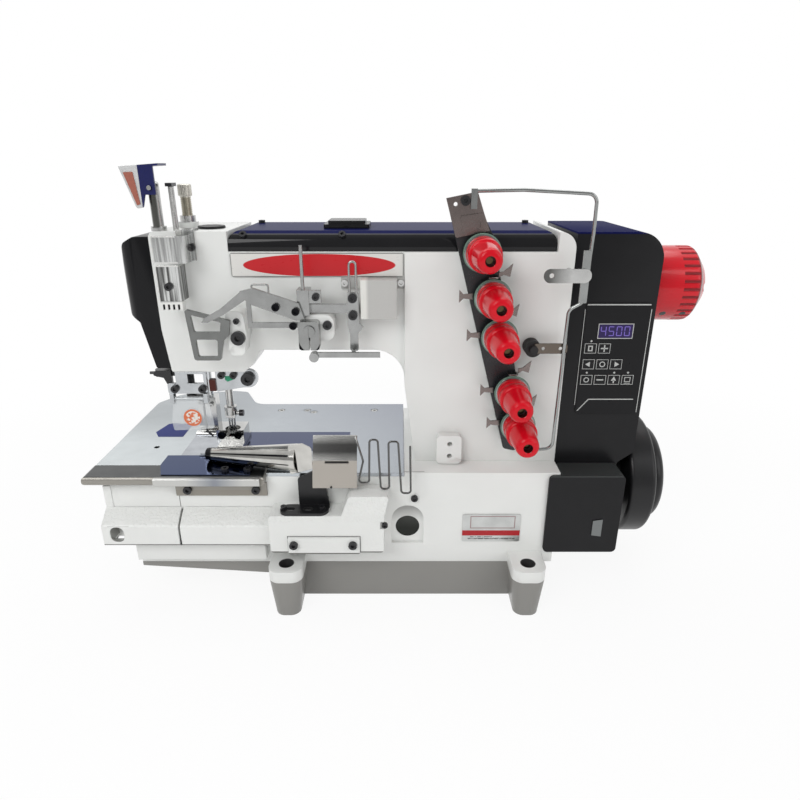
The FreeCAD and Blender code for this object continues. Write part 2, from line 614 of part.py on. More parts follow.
# ---------------------------------------------------------------- arm
def arm():
    left = HEAD_LEFT
    cover_cut = box(COVER_LEFT - 0.3, COVER_RIGHT + 0.3, -80, 80, COVER_RIM, ARM_TOP + 1)
    outline = [
        (left + 4.5, HEAD_UNDER, 2),
        (HEAD_RIGHT, HEAD_UNDER, 2),
        (HEAD_RIGHT + 11, HEAD_UNDER + 9),
        (HEAD_RIGHT + 17, ARM_UNDER, 4),
        (COLUMN_LEFT, ARM_UNDER, THROAT_R),
        (COLUMN_LEFT, BED_TOP + 85),
        (COLUMN_LEFT + COLUMN_FOOT_IN, BED_TOP),
        (BED_RIGHT, BED_TOP),
        (BED_RIGHT, ARM_TOP, 15),
        (left, ARM_TOP, 6),
        (left, HEAD_UNDER + 43),
    ]
    body = front_prism(outline, ARM_FRONT, ARM_BACK)
    column = [
        (COLUMN_LEFT + COLUMN_FOOT_IN, BED_TOP),
        (BED_RIGHT, BED_TOP),
        (BED_RIGHT, ARM_TOP, 15),
        (COLUMN_LEFT, ARM_TOP),
        (COLUMN_LEFT, BED_TOP + 85),
    ]
    body = body.fuse(front_prism(column, COLUMN_FRONT, -COLUMN_FRONT))
    body = body.cut(cover_cut)
    wall = ARM_WALL
    front = ARM_FRONT + wall
    back = ARM_BACK - wall
    right = BED_RIGHT - wall
    ceiling = ARM_TOP - wall
    inside = box(left + wall, HEAD_RIGHT - wall, front, back, HEAD_UNDER + wall, ceiling)
    inside = inside.fuse(box(HEAD_RIGHT - 20, right, front, back, ARM_UNDER + wall, ceiling))
    inside = inside.fuse(box(COLUMN_LEFT + COLUMN_FOOT_IN + wall, right, front, back, BED_TOP, ceiling))
    body = body.cut(inside)
    body = body.cut(box(left - 1, left + wall, -35, 25, HEAD_UNDER + 17, ARM_TOP - 28))
    webs = [
        box(HEAD_RIGHT + 2, HEAD_RIGHT + 2 + WEB_T, front, back, ARM_UNDER + wall, COVER_RIM - 3),
        box(COLUMN_LEFT - WEB_T, COLUMN_LEFT, front, back, ARM_UNDER + wall, COVER_RIM - 3),
        box(left + wall, NEEDLE_X + NEEDLE_BAR_R + 3, front, back, SHELF_Z, SHELF_Z + WEB_T),
        rod(LEVER_SHAFT_R + 6, (LEVER_X, front, LEVER_Z), (LEVER_X, front + 14, LEVER_Z)),
    ]
    body = body.multiFuse(webs)
    body = body.cut(rod(SHAFT_R + RUN_GAP, (HEAD_RIGHT, 0, UPPER_Z), (BED_RIGHT + 1, 0, UPPER_Z)))
    body = body.cut(
        rod(LEVER_SHAFT_R + RUN_GAP, (LEVER_X, ARM_FRONT - 1, LEVER_Z), (LEVER_X, front + 15, LEVER_Z))
    )
    for x, y, radius in ((NEEDLE_X, NEEDLE_Y, NEEDLE_BAR_R), (PRESSER_X, PRESSER_Y, PRESSER_BAR_R)):
        body = body.cut(rod(radius + RUN_GAP, (x, y, HEAD_UNDER - 5), (x, y, ARM_TOP - 30)))
    body = body.cut(
        rod(
            SPREADER_R + RUN_GAP,
            (SPREADER_X, SPREADER_Y, HEAD_UNDER - 5),
            (SPREADER_X, SPREADER_Y, HEAD_UNDER + 20),
        )
    )
    body = body.cut(rod(PLUG_SHANK_R + RUN_GAP, (PLUG_X, PLUG_Y, ceiling - 1), (PLUG_X, PLUG_Y, ARM_TOP + 1)))
    body = body.cut(
        rod(ADJUST_R + RUN_GAP, (PRESSER_X, PRESSER_Y, ceiling - 1), (PRESSER_X, PRESSER_Y, ARM_TOP + 1))
    )
    add("arm_casting", body.removeSplitter())

    rim = COVER_RIM
    cover_box = [
        (ARM_FRONT, rim),
        (ARM_FRONT, ARM_TOP, COVER_FRONT_R),
        (-COLUMN_FRONT - 8, ARM_TOP, 8),
        (-COLUMN_FRONT - 8, rim),
    ]
    ends = [(COVER_LEFT, rim), (COVER_LEFT, ARM_TOP, 10), (COVER_RIGHT, ARM_TOP, 10), (COVER_RIGHT, rim)]
    shell = side_prism(cover_box, COVER_LEFT, COVER_RIGHT).common(front_prism(ends, -80, 80))
    t = COVER_WALL
    hollow_box = [
        (ARM_FRONT + t, rim - 1),
        (ARM_FRONT + t, ARM_TOP - t, COVER_FRONT_R - t),
        (-COLUMN_FRONT - 8 - t, ARM_TOP - t, 5),
        (-COLUMN_FRONT - 8 - t, rim - 1),
    ]
    hollow_ends = [
        (COVER_LEFT + t, rim - 1),
        (COVER_LEFT + t, ARM_TOP - t, 7),
        (COVER_RIGHT - t, ARM_TOP - t, 7),
        (COVER_RIGHT - t, rim - 1),
    ]
    hollow = side_prism(hollow_box, COVER_LEFT, COVER_RIGHT).common(front_prism(hollow_ends, -80, 80))
    add("top_cover", shell.cut(hollow))
    lean = V(0, -1, 1).normalize()
    for x in (COVER_LEFT + 14, -61.0):
        corner = V(x, ARM_FRONT + COVER_FRONT_R, ARM_TOP - COVER_FRONT_R) + lean * COVER_FRONT_R
        screw(corner, lean, ["top_cover"], reach=COVER_WALL - 0.4, head_r=3.4)
    for x in (COVER_LEFT + 14, COVER_RIGHT - 14):
        screw((x, ARM_BACK - 12, ARM_TOP), Z_AXIS, ["top_cover"], reach=t, head_r=3.4)
    window = plan_prism(rectangle(-81, -37, -28, 12, 3), ARM_TOP, ARM_TOP + 4)
    window = window.fuse(plan_prism(rectangle(-77, -41, -24, 8, 3), ARM_TOP + 4, ARM_TOP + 7))
    add("oil_window", window)

    # black cover on the left end of the head
    low = HEAD_UNDER + 3
    high = ARM_TOP - 5
    face = [
        (left + 3.9, low),
        (left - 11.5, low, 2),
        (left - 21, low + 47, 4),
        (left - 31, low + 54, 4),
        (left - 32, low + 90, 20),
        (left - 29, high - 7, 8),
        (left - 16, high, 6),
        (left, high),
        (left, HEAD_UNDER + 43),
    ]
    plan = [
        (left + 5, ARM_FRONT + 3),
        (left - 33, ARM_FRONT + 3, 14),
        (left - 33, ARM_BACK - 3, 14),
        (left + 5, ARM_BACK - 3),
    ]
    cover = front_prism(face, -80, 80).common(plan_prism(plan, 200, 400))
    face_in = [
        (left + 6, low + t),
        (left - 9, low + t),
        (left - 18, low + 48.5, 2),
        (left - 28, low + 56, 3),
        (left - 29, low + 90, 18),
        (left - 26, high - 9, 6),
        (left - 15, high - t, 4),
        (left + 6, high - t),
    ]
    plan_in = [
        (left + 6, ARM_FRONT + 3 + t),
        (left - 33 + t, ARM_FRONT + 3 + t, 11),
        (left - 33 + t, ARM_BACK - 3 - t, 11),
        (left + 6, ARM_BACK - 3 - t),
    ]
    cover = cover.cut(front_prism(face_in, -80, 80).common(plan_prism(plan_in, 200, 400)))
    add("face_cover", cover)

    add(
        "label_plates", front_prism(rectangle(-166, COLUMN_LEFT - 1, 341.7, 364, 2), ARM_FRONT - 1, ARM_FRONT)
    )


# ---------------------------------------------------------------- drive
def drive():
    left = HEAD_RIGHT - 9
    shaft = rod(SHAFT_R, (left, 0, UPPER_Z), (WHEEL_OUT - 6, 0, UPPER_Z))
    disc = rod(CRANK_R + 8, (left, 0, UPPER_Z), (left + 8, 0, UPPER_Z))
    pin = rod(4, (left - 5, 0, UPPER_Z + CRANK_R - 2), (left, 0, UPPER_Z + CRANK_R - 2))
    add("upper_shaft", shaft.multiFuse([disc, pin]))
    add("upper_shaft", sprocket(UPPER_Z))
    lower_left = -LUG_SPACING_X / 2 - LUG_HALF_W - 6
    lower = rod(SHAFT_R, (lower_left, 0, LOWER_Z), (MOTOR_END - 6, 0, LOWER_Z))
    eccentric = rod(SHAFT_R + 8, (lower_left, 3, LOWER_Z), (lower_left + 10, 3, LOWER_Z))
    rotor = rod(MOTOR_R - 22, (BOX_RIGHT + 6, 0, LOWER_Z), (BOX_RIGHT + 24, 0, LOWER_Z))
    add("lower_shaft", lower.multiFuse([eccentric, rotor]))
    add("lower_shaft", sprocket(LOWER_Z))
    inner = SPROCKET_R + FREE_GAP
    outer = inner + BELT_T

    def loop(radius):
        half = [(-radius, LOWER_Z - radius, radius - 0.001), (radius, LOWER_Z - radius, radius - 0.001)]
        half += [(radius, UPPER_Z + radius, radius - 0.001), (-radius, UPPER_Z + radius, radius - 0.001)]
        return side_prism(half, BELT_X, BELT_X + BELT_W)

    add("timing_belt", loop(outer).cut(loop(inner)))


def sprocket(z):
    low = BELT_X - 0.5
    high = BELT_X + BELT_W + 0.5
    wheel = rod(SPROCKET_R, (low, 0, z), (high, 0, z))
    flanges = [
        rod(SPROCKET_R + 3, (low - 2, 0, z), (low, 0, z)), rod(SPROCKET_R + 3, (high, 0, z), (high + 2, 0, z))
    ]
    wheel = wheel.multiFuse(flanges)
    grooves = []
    for i in range(TEETH):
        turn = 2 * math.pi * i / TEETH
        y = SPROCKET_R * math.cos(turn)
        dz = SPROCKET_R * math.sin(turn)
        grooves.append(rod(1.6, (low, y, z + dz), (high, y, z + dz)))
    wheel = wheel.cut(Part.makeCompound(grooves))
    return wheel.cut(rod(SHAFT_R, (low - 3, 0, z), (high + 3, 0, z)))


def handwheel():
    profile = [
        (0, SHAFT_R),
        (0, WHEEL_R - 5),
        (5, WHEEL_R, 3),
        (WHEEL_OUT - WHEEL_IN - 12, WHEEL_R, 6),
        (WHEEL_OUT - WHEEL_IN, WHEEL_R - 16, 8),
        (WHEEL_OUT - WHEEL_IN, SHAFT_R),
    ]
    wheel = turned(profile, (WHEEL_IN, 0, UPPER_Z), X_AXIS)
    grooves = []
    for i in range(30):
        turn = 2 * math.pi * i / 30
        y = (WHEEL_R + 1) * math.cos(turn)
        z = UPPER_Z + (WHEEL_R + 1) * math.sin(turn)
        grooves.append(rod(2.2, (WHEEL_OUT - 28, y, z), (WHEEL_OUT - 8, y, z)))
    wheel = wheel.cut(Part.makeCompound(grooves))
    for turn in (60, 180, 300):
        y = (WHEEL_R - 14) * math.cos(math.radians(turn))
        z = UPPER_Z + (WHEEL_R - 14) * math.sin(math.radians(turn))
        wheel = wheel.cut(rod(4.5, (WHEEL_OUT - 18, y, z), (WHEEL_OUT + 1, y, z)))
    add("handwheel", wheel)


def control():
    left = BED_RIGHT
    outline = [
        (left, BOX_BOTTOM, 2),
        (BOX_FOOT_RIGHT, BOX_BOTTOM, 8),
        (BOX_FOOT_RIGHT, BOX_LEDGE, 6),
        (BOX_RIGHT, BOX_LEDGE + 12, 4),
        (BOX_RIGHT, ARM_TOP, 25),
        (left, ARM_TOP),
    ]
    upper = front_prism(outline, COLUMN_FRONT, -COLUMN_FRONT)
    foot = front_prism(
        rectangle(left, BOX_FOOT_RIGHT, BOX_BOTTOM, BOX_LEDGE, 5), -BED_HALF_DEPTH, COLUMN_FRONT + 5
    )
    flange = front_prism(
        rectangle(FLANGE_LEFT, BOX_FOOT_RIGHT, BOX_BOTTOM, BOX_LEDGE, 5),
        -BED_HALF_DEPTH - FLANGE_T,
        -BED_HALF_DEPTH,
    )
    t = BOX_WALL
    inner = [
        (left + t, BOX_BOTTOM + t),
        (BOX_FOOT_RIGHT - t, BOX_BOTTOM + t, 5),
        (BOX_FOOT_RIGHT - t, BOX_LEDGE + 2, 4),
        (BOX_RIGHT - t, BOX_LEDGE + 14, 2),
        (BOX_RIGHT - t, ARM_TOP - t, 22),
        (left + t, ARM_TOP - t),
    ]
    hollow = front_prism(inner, COLUMN_FRONT + t, -COLUMN_FRONT - t)
    foot_hollow = box(
        left + t, BOX_FOOT_RIGHT - t, -BED_HALF_DEPTH + t, COLUMN_FRONT + 6, BOX_BOTTOM + t, BOX_LEDGE - t
    )
    body = upper.fuse(foot).cut(hollow).cut(foot_hollow).fuse(flange)
    for z in (UPPER_Z, LOWER_Z):
        body = body.cut(rod(SHAFT_R + 2, (left - 1, 0, z), (BOX_RIGHT + 1, 0, z)))
    add("control_box", body.removeSplitter())

    panel = front_prism(
        rectangle(PANEL_L, PANEL_R, PANEL_LOW, PANEL_HIGH, 4), COLUMN_FRONT - 1.2, COLUMN_FRONT
    )
    add("control_panel", panel)
    face = COLUMN_FRONT - 1.2
    display = rectangle(DISPLAY_L, DISPLAY_R, DISPLAY_LOW, DISPLAY_HIGH, 1)
    add("control_panel", front_prism(display, face - 0.6, face))
    for row, (start, count) in enumerate(KEY_ROWS):
        for i in range(count):
            x = start + i * KEY_PITCH
            z = KEY_TOP - row * KEY_DROP
            add("panel_keys", front_prism(rectangle(x, x + KEY_W, z - KEY_H, z, 1.5), face - 0.7, face))
    tag = [(193, 78.5), (203, 77), (203, 97.5), (193, 96)]
    tag_back = -BED_HALF_DEPTH - FLANGE_T
    add("label_plates", front_prism(tag, tag_back - 1, tag_back))


def motor():
    start = BOX_RIGHT + 0.4
    neck_r = 38.0
    profile = [
        (BOX_FOOT_RIGHT - start, 0),
        (BOX_FOOT_RIGHT - start, neck_r),
        (0, neck_r),
        (0, MOTOR_R, 4),
        (BOX_RIGHT + 29 - start, MOTOR_R, 5),
        (BOX_RIGHT + 29 - start, MOTOR_CAP_R),
        (MOTOR_END - start, MOTOR_CAP_R, 9),
        (MOTOR_END - start, 0),
    ]
    body = turned(profile, (start, 0, LOWER_Z), X_AXIS)
    body = body.cut(rod(SHAFT_R + FREE_GAP, (BOX_FOOT_RIGHT - 1, 0, LOWER_Z), (MOTOR_END - 5, 0, LOWER_Z)))
    body = body.cut(rod(MOTOR_R - 21, (BOX_RIGHT + 5, 0, LOWER_Z), (BOX_RIGHT + 25, 0, LOWER_Z)))
    add("motor_housing", body)


# ---------------------------------------------------------------- needle and presser bars
def needle_gear():
    top = SHELF_Z + WEB_T + 24
    low = HEAD_UNDER - 50
    block_low = HEAD_UNDER + 23
    bar = rod(NEEDLE_BAR_R, (NEEDLE_X, NEEDLE_Y, low), (NEEDLE_X, NEEDLE_Y, top))
    block = box(NEEDLE_X - 7, NEEDLE_X + 7, NEEDLE_Y - 6, NEEDLE_Y + 6, block_low, block_low + 12)
    link_x = NEEDLE_X + 8.5
    link = side_prism(
        [
            (NEEDLE_Y - 6, block_low, 3),
            (NEEDLE_Y + 7, block_low, 3),
            (4, UPPER_Z + CRANK_R + 2, 3),
            (-8, UPPER_Z + CRANK_R + 2, 3),
        ],
        link_x,
        link_x + 2.5,
    )
    bridge = box(NEEDLE_X + 6, link_x + 1, NEEDLE_Y - 4, NEEDLE_Y + 4, block_low + 1, block_low + 11)
    add("needle_bar", bar.multiFuse([block, bridge, link]).removeSplitter())
    clamp = rod(6.5, (NEEDLE_X, NEEDLE_Y, low - 9), (NEEDLE_X, NEEDLE_Y, low))
    clamp = clamp.fuse(box(NEEDLE_X - 5, NEEDLE_X + 5, NEEDLE_Y - 5, NEEDLE_Y + 5, low - 12, low - 4))
    clamp_screw = rod(2.0, (NEEDLE_X + 4, NEEDLE_Y, low - 8), (NEEDLE_X + 9, NEEDLE_Y, low - 8))
    clamp_knob = rod(3.5, (NEEDLE_X + 9, NEEDLE_Y, low - 8), (NEEDLE_X + 13.5, NEEDLE_Y, low - 8))
    add("needle_bar", clamp.fuse(clamp_screw), clamp_knob)
    for i in (-1, 0, 1):
        x = NEEDLE_X + i * NEEDLE_PITCH
        thick = rod(1.0, (x, NEEDLE_Y, low - 24), (x, NEEDLE_Y, low - 12))
        thin = rod(0.5, (x, NEEDLE_Y, BED_TOP + 4), (x, NEEDLE_Y, low - 24))
        tip = Part.makeCone(0.12, 0.5, 3, V(x, NEEDLE_Y, BED_TOP + 1), Z_AXIS)
        add("needles", thick.multiFuse([thin, tip]))


def presser_gear():
    top = ARM_TOP - ARM_WALL - 20
    low = HEAD_UNDER - 42
    sole_z = BED_TOP + 0.8
    ankle_top = sole_z + 20
    left = NEEDLE_X - 17
    right = NEEDLE_X + 13
    add("presser_bar", rod(PRESSER_BAR_R, (PRESSER_X, PRESSER_Y, low), (PRESSER_X, PRESSER_Y, top)))
    holder = box(PRESSER_X - 12, left, PRESSER_Y - 8, PRESSER_Y + 6, sole_z + 16, low)
    reach = box(PRESSER_X - 6, right, PRESSER_Y - 10, PRESSER_Y + 6, sole_z + 16, ankle_top)
    ankle = box(left, right, NEEDLE_Y - 6, PRESSER_Y + 6, sole_z + 4, ankle_top)
    toe_rod = rod(4, (left - 22, NEEDLE_Y - 2, sole_z + 14), (left, NEEDLE_Y - 2, sole_z + 14))
    sole = plan_prism(
        [
            (left + 2, NEEDLE_Y + 28),
            (right - 1, NEEDLE_Y + 28),
            (right - 1, NEEDLE_Y - 24, 3),
            (left + 2, NEEDLE_Y - 24, 3),
        ],
        sole_z,
        sole_z + 4,
    )
    toe = side_prism(
        [
            (NEEDLE_Y - 24, sole_z + 4),
            (NEEDLE_Y - 29, sole_z + 8),
            (NEEDLE_Y - 29, sole_z + 4),
            (NEEDLE_Y - 24, sole_z),
        ],
        left + 4,
        right - 3,
    )
    foot = holder.multiFuse([reach, ankle, sole, toe, toe_rod])
    slot = box(
        NEEDLE_X - NEEDLE_PITCH - 2.2,
        NEEDLE_X + NEEDLE_PITCH + 2.2,
        NEEDLE_Y - 4,
        NEEDLE_Y + 4,
        sole_z - 1,
        low,
    )
    foot = foot.cut(slot)
    foot = foot.cut(rod(8.2, (NEEDLE_X, NEEDLE_Y, sole_z + 12), (NEEDLE_X, NEEDLE_Y, ankle_top + 1)))
    add("presser_foot", foot.removeSplitter())
    front = NEEDLE_Y - 6
    for x in (left + 6.4, right - 6):
        screw((x, front, sole_z + 15), V(0, -1, 0), ["presser_foot"], "presser_foot", 4.4, 3.0)
    for x, z in ((PRESSER_X - 8, low - 5), (PRESSER_X + 3, low - 8)):
        screw((x, PRESSER_Y - 8, z), V(0, -1, 0), ["presser_foot"], "presser_foot", 2.6, 3.0)


def pressure_adjuster():
    x = PRESSER_X
    y = PRESSER_Y
    boss_top = ARM_TOP + 5
    boss = rod(10, (x, y, ARM_TOP), (x, y, boss_top)).cut(
        rod(ADJUST_R + RUN_GAP, (x, y, ARM_TOP - 1), (x, y, boss_top + 1))
    )
    add("arm_bosses", boss)
    nut = rod(7.5, (x, y, boss_top), (x, y, boss_top + 6)).cut(
        rod(ADJUST_R + RUN_GAP, (x, y, boss_top - 1), (x, y, boss_top + 7))
    )
    add("top_fittings", nut)
    shank = rod(ADJUST_R, (x, y, ARM_TOP - ARM_WALL - 8), (x, y, boss_top + 24))
    for i in range(8):
        groove_z = boss_top + 8 + i * 1.9
        groove = rod(ADJUST_R + 1, (x, y, groove_z), (x, y, groove_z + 0.8)).cut(
            rod(ADJUST_R - 0.6, (x, y, groove_z - 1), (x, y, groove_z + 2))
        )
        shank = shank.cut(groove)
    cap = turned([(0, 0), (0, 6.5, 0.8), (11, 6.5, 1.5), (11, 0)], (x, y, boss_top + 24), Z_AXIS)
    add("pressure_screw", shank)
    knurls = []
    for i in range(24):
        turn = 2 * math.pi * i / 24
        knurl_x = x + 6.7 * math.cos(turn)
        knurl_y = y + 6.7 * math.sin(turn)
        knurls.append(rod(0.5, (knurl_x, knurl_y, boss_top + 23), (knurl_x, knurl_y, boss_top + 36)))
    add("pressure_screw", cap.cut(Part.makeCompound(knurls)))
    plug = turned(
        [(-8, 0), (-8, PLUG_SHANK_R), (0, PLUG_SHANK_R), (0, PLUG_R), (2.5, PLUG_R, 1), (2.5, 0)],
        (PLUG_X, PLUG_Y, ARM_TOP),
        Z_AXIS,
    )
    plug = plug.cut(box(PLUG_X - 9, PLUG_X + 9, PLUG_Y - 1.2, PLUG_Y + 1.2, ARM_TOP + 1.2, ARM_TOP + 4))
    add("oil_plug", plug)


def lifter():
    """Presser lifter: bent plate lever turning on a pin through a post on the head."""
    x = LIFT_X
    y = LIFT_Y
    post = turned(
        [(0, 0), (0, 7), (4, 7), (4, 5), (LIFT_H - 6, 5), (LIFT_H + 5, 5, 2), (LIFT_H + 5, 0)],
        (x, y, ARM_TOP),
        Z_AXIS,
    )
    pin = rod(2.0, (x, y - 11, ARM_TOP + LIFT_H), (x, y + 3, ARM_TOP + LIFT_H))
    add("top_fittings", post.fuse(pin))
    stay = [rod(1.6, (x + 16, y + dy, ARM_TOP), (x + 16, y + dy, ARM_TOP + LIFT_H + 1)) for dy in (-3, 3)]
    cap = box(x + 13, x + 19, y - 6, y + 6, ARM_TOP + LIFT_H + 1, ARM_TOP + LIFT_H + 4)
    add("top_fittings", join(stay + [cap]))
    z = ARM_TOP + LIFT_H
    left = x - 25
    plate = [
        (left, z + 17),
        (x + 5, z + 19),
        (x + 5, z - 6),
        (x - 5, z - 6),
        (x - 8, z - 17, 2),
        (left + 11, z - 18, 2),
    ]
    face = front_prism(plate, y - 9, y - 7)
    flange = front_prism(
        [(left, z + 16), (x + 10, z + 18.5), (x + 10, z + 20.5), (left, z + 18)],
        y - 9,
        y + 12,
    )
    side = [
        (left, z + 17),
        (left + 2, z + 17),
        (left + 11.74, z - 14),
        (left + 9.74, z - 14),
    ]
    lever = face.multiFuse([flange, front_prism(side, y - 9, y + 8)])
    lever = lever.cut(rod(2.0 + RUN_GAP, (x, y - 12, z), (x, y, z)))
    add("lifter_lever", lever.removeSplitter())
    pad = front_prism(
        [(x - 21.5, z + 13), (x - 13, z + 13.5), (x - 10, z - 14), (x - 13, z - 15)],
        y - 9.8,
        y - 9,
    )
    add("lifter_lever", pad)


# ---------------------------------------------------------------- thread row
def tension_row():
    back = COLUMN_FRONT - STRIP_GAP
    front = back - STRIP_T
    outline = [
        (33.5, 412.5),
        (60, 418),
        (64.5, 403),
        (77, 380),
        (104, 258),
        (115, 205),
        (111, 167, 3),
        (98, 170, 3),
    ]
    eyelet = rod(1.8, (41.5, back + 1, 408), (41.5, front - 2, 408))
    strip = front_prism(outline, front, back).cut(eyelet)
    add("tension_strip", strip)
    for x, z in ((70, 345), (96, 215)):
        stand = rod(5, (x, back, z), (x, COLUMN_FRONT, z))
        add("tension_strip", stand)
    plate = front_prism([(33, 413), (60.5, 418.5), (72, 386, 2), (42.5, 379, 2)], front - 1.5, front)
    add("thread_hooks", plate.cut(eyelet))
    over = front_prism([(45.5, 398, 2), (66.5, 401, 2), (72.5, 385.5), (51, 381)], front - 3, front - 1.5)
    over = over.cut(front_prism(rectangle(60, 64, 387, 394, 1.5), front - 4, front))
    add("thread_hooks", over)
    screw((50, front - 1.5, 411), V(0, -1, 0), ["thread_hooks", "tension_strip"], reach=3.0)
    face = front
    for i, (x, z) in enumerate(TENSION_POSTS):
        post = rod(POST_R, (x, face, z), (x, face - KNOB_L - 4, z))
        add("tension_discs", post)
        for step in (0.5, 4.0, 7.5):
            disc = turned(
                [
                    (0, POST_R + RUN_GAP),
                    (0, DISC_R - 4),
                    (1.4, DISC_R),
                    (2.4, DISC_R),
                    (1.6, POST_R + RUN_GAP),
                ],
                (x, face - step, z),
                V(0, -1, 0),
            )
            add("tension_discs", disc)
        knob_start = face - 11.5
        knob = turned(
            [
                (0, POST_R + RUN_GAP),
                (0, KNOB_BASE_R, 1.5),
                (16, KNOB_BASE_R - 0.3, 6),
                (KNOB_L, KNOB_FACE_R, 2.5),
                (KNOB_L, POST_R + 1, 1),
                (KNOB_L - 2, POST_R + RUN_GAP),
            ],
            (x, knob_start, z),
            V(0, -1, 0),
        )
        flutes = []
        for k in range(12):
            turn = 2 * math.pi * k / 12
            near = (
                x + (KNOB_BASE_R + 0.7) * math.cos(turn),
                knob_start - 18,
                z + (KNOB_BASE_R + 0.7) * math.sin(turn),
            )
            far = (
                x + (KNOB_FACE_R + 1.3) * math.cos(turn),
                knob_start - KNOB_L - 1,
                z + (KNOB_FACE_R + 1.3) * math.sin(turn),
            )
            flutes.append(rod(1.4, near, far))
        add("tension_knob_%d" % (i + 1), knob.cut(Part.makeCompound(flutes)))
        if i > 0:
            left_hook = front_prism(
                [
                    (x - 30, z + 6),
                    (x - 26, z + 2),
                    (x - 17, z + 3),
                    (x - 17, z - 3),
                    (x - 26, z - 2),
                    (x - 30, z - 6),
                ],
                face - 1.5,
                face,
            )
            add("thread_hooks", left_hook)
            rx = x + 12
            rz = z + 25
            right_hook = front_prism(
                [
                    (rx - 6.5, rz - 3),
                    (rx - 2, rz - 2),
                    (rx + 6, rz + 5),
                    (rx + 4, rz - 7),
                    (rx - 2, rz - 5),
                    (rx - 6.5, rz - 8),
                ],
                face - 1.5,
                face,
            )
            loop = tube(
                [
                    (x - 4, face, z + 18),
                    (x - 4, face - 9, z + 18),
                    (x + 4, face - 9, z + 18),
                    (x + 4, face, z + 18),
                ],
                0.9,
                2.5,
            )
            add("thread_hooks", right_hook)
            add("thread_hooks", loop)


def wire_frame():
    front = COLUMN_FRONT - STRIP_GAP - STRIP_T
    wire = tube(
        [
            (57, front - 3, 419),
            (100, front - 6, 420),
            (161, front - 14, 417),
            (162, front - 12, 385),
            (160.5, front - 10, 323),
            (148.5, front - 7, 315),
            (147, front - 4, 172),
            (128, front - 4, 170),
        ],
        WIRE_R,
        8.0,
    )
    add("wire_frame", wire)
    grip = box(54.6, 60, front - 5, front - 1.5, 404, 421)
    add("wire_frame", grip.cut(wire))
    flat_front = front - 14.5
    flat = front_prism(rectangle(155, 162, 323, 370, 1), flat_front, flat_front + 2)
    add("wire_frame", flat.cut(wire))
    plate = front_prism(rectangle(121, 163.5, 341.5, 354, 6), flat_front - 1.5, flat_front)
    plate = plate.cut(rod(2.2, (128, flat_front - 2, 348), (128, flat_front + 1, 348)))
    add("column_guides", plate)
    post = rod(3, (150, flat_front, 348), (150, COLUMN_FRONT, 348))
    add("column_guides", post)
    lower = front_prism(rectangle(120, 152, 272, 282, 3), front - 4, front - 2.5)
    for x in (129.0, 145.5):
        lower = lower.cut(rod(1.8, (x, front - 5, 277), (x, front - 1, 277)))
    add("column_guides", lower)
    post = rod(8, (120, front - 2.5, 276), (120, COLUMN_FRONT, 276))
    post = post.fuse(rod(4, (120, front - 7, 276), (120, front - 2.5, 276)))
    add("guide_post", post.cut(lower))


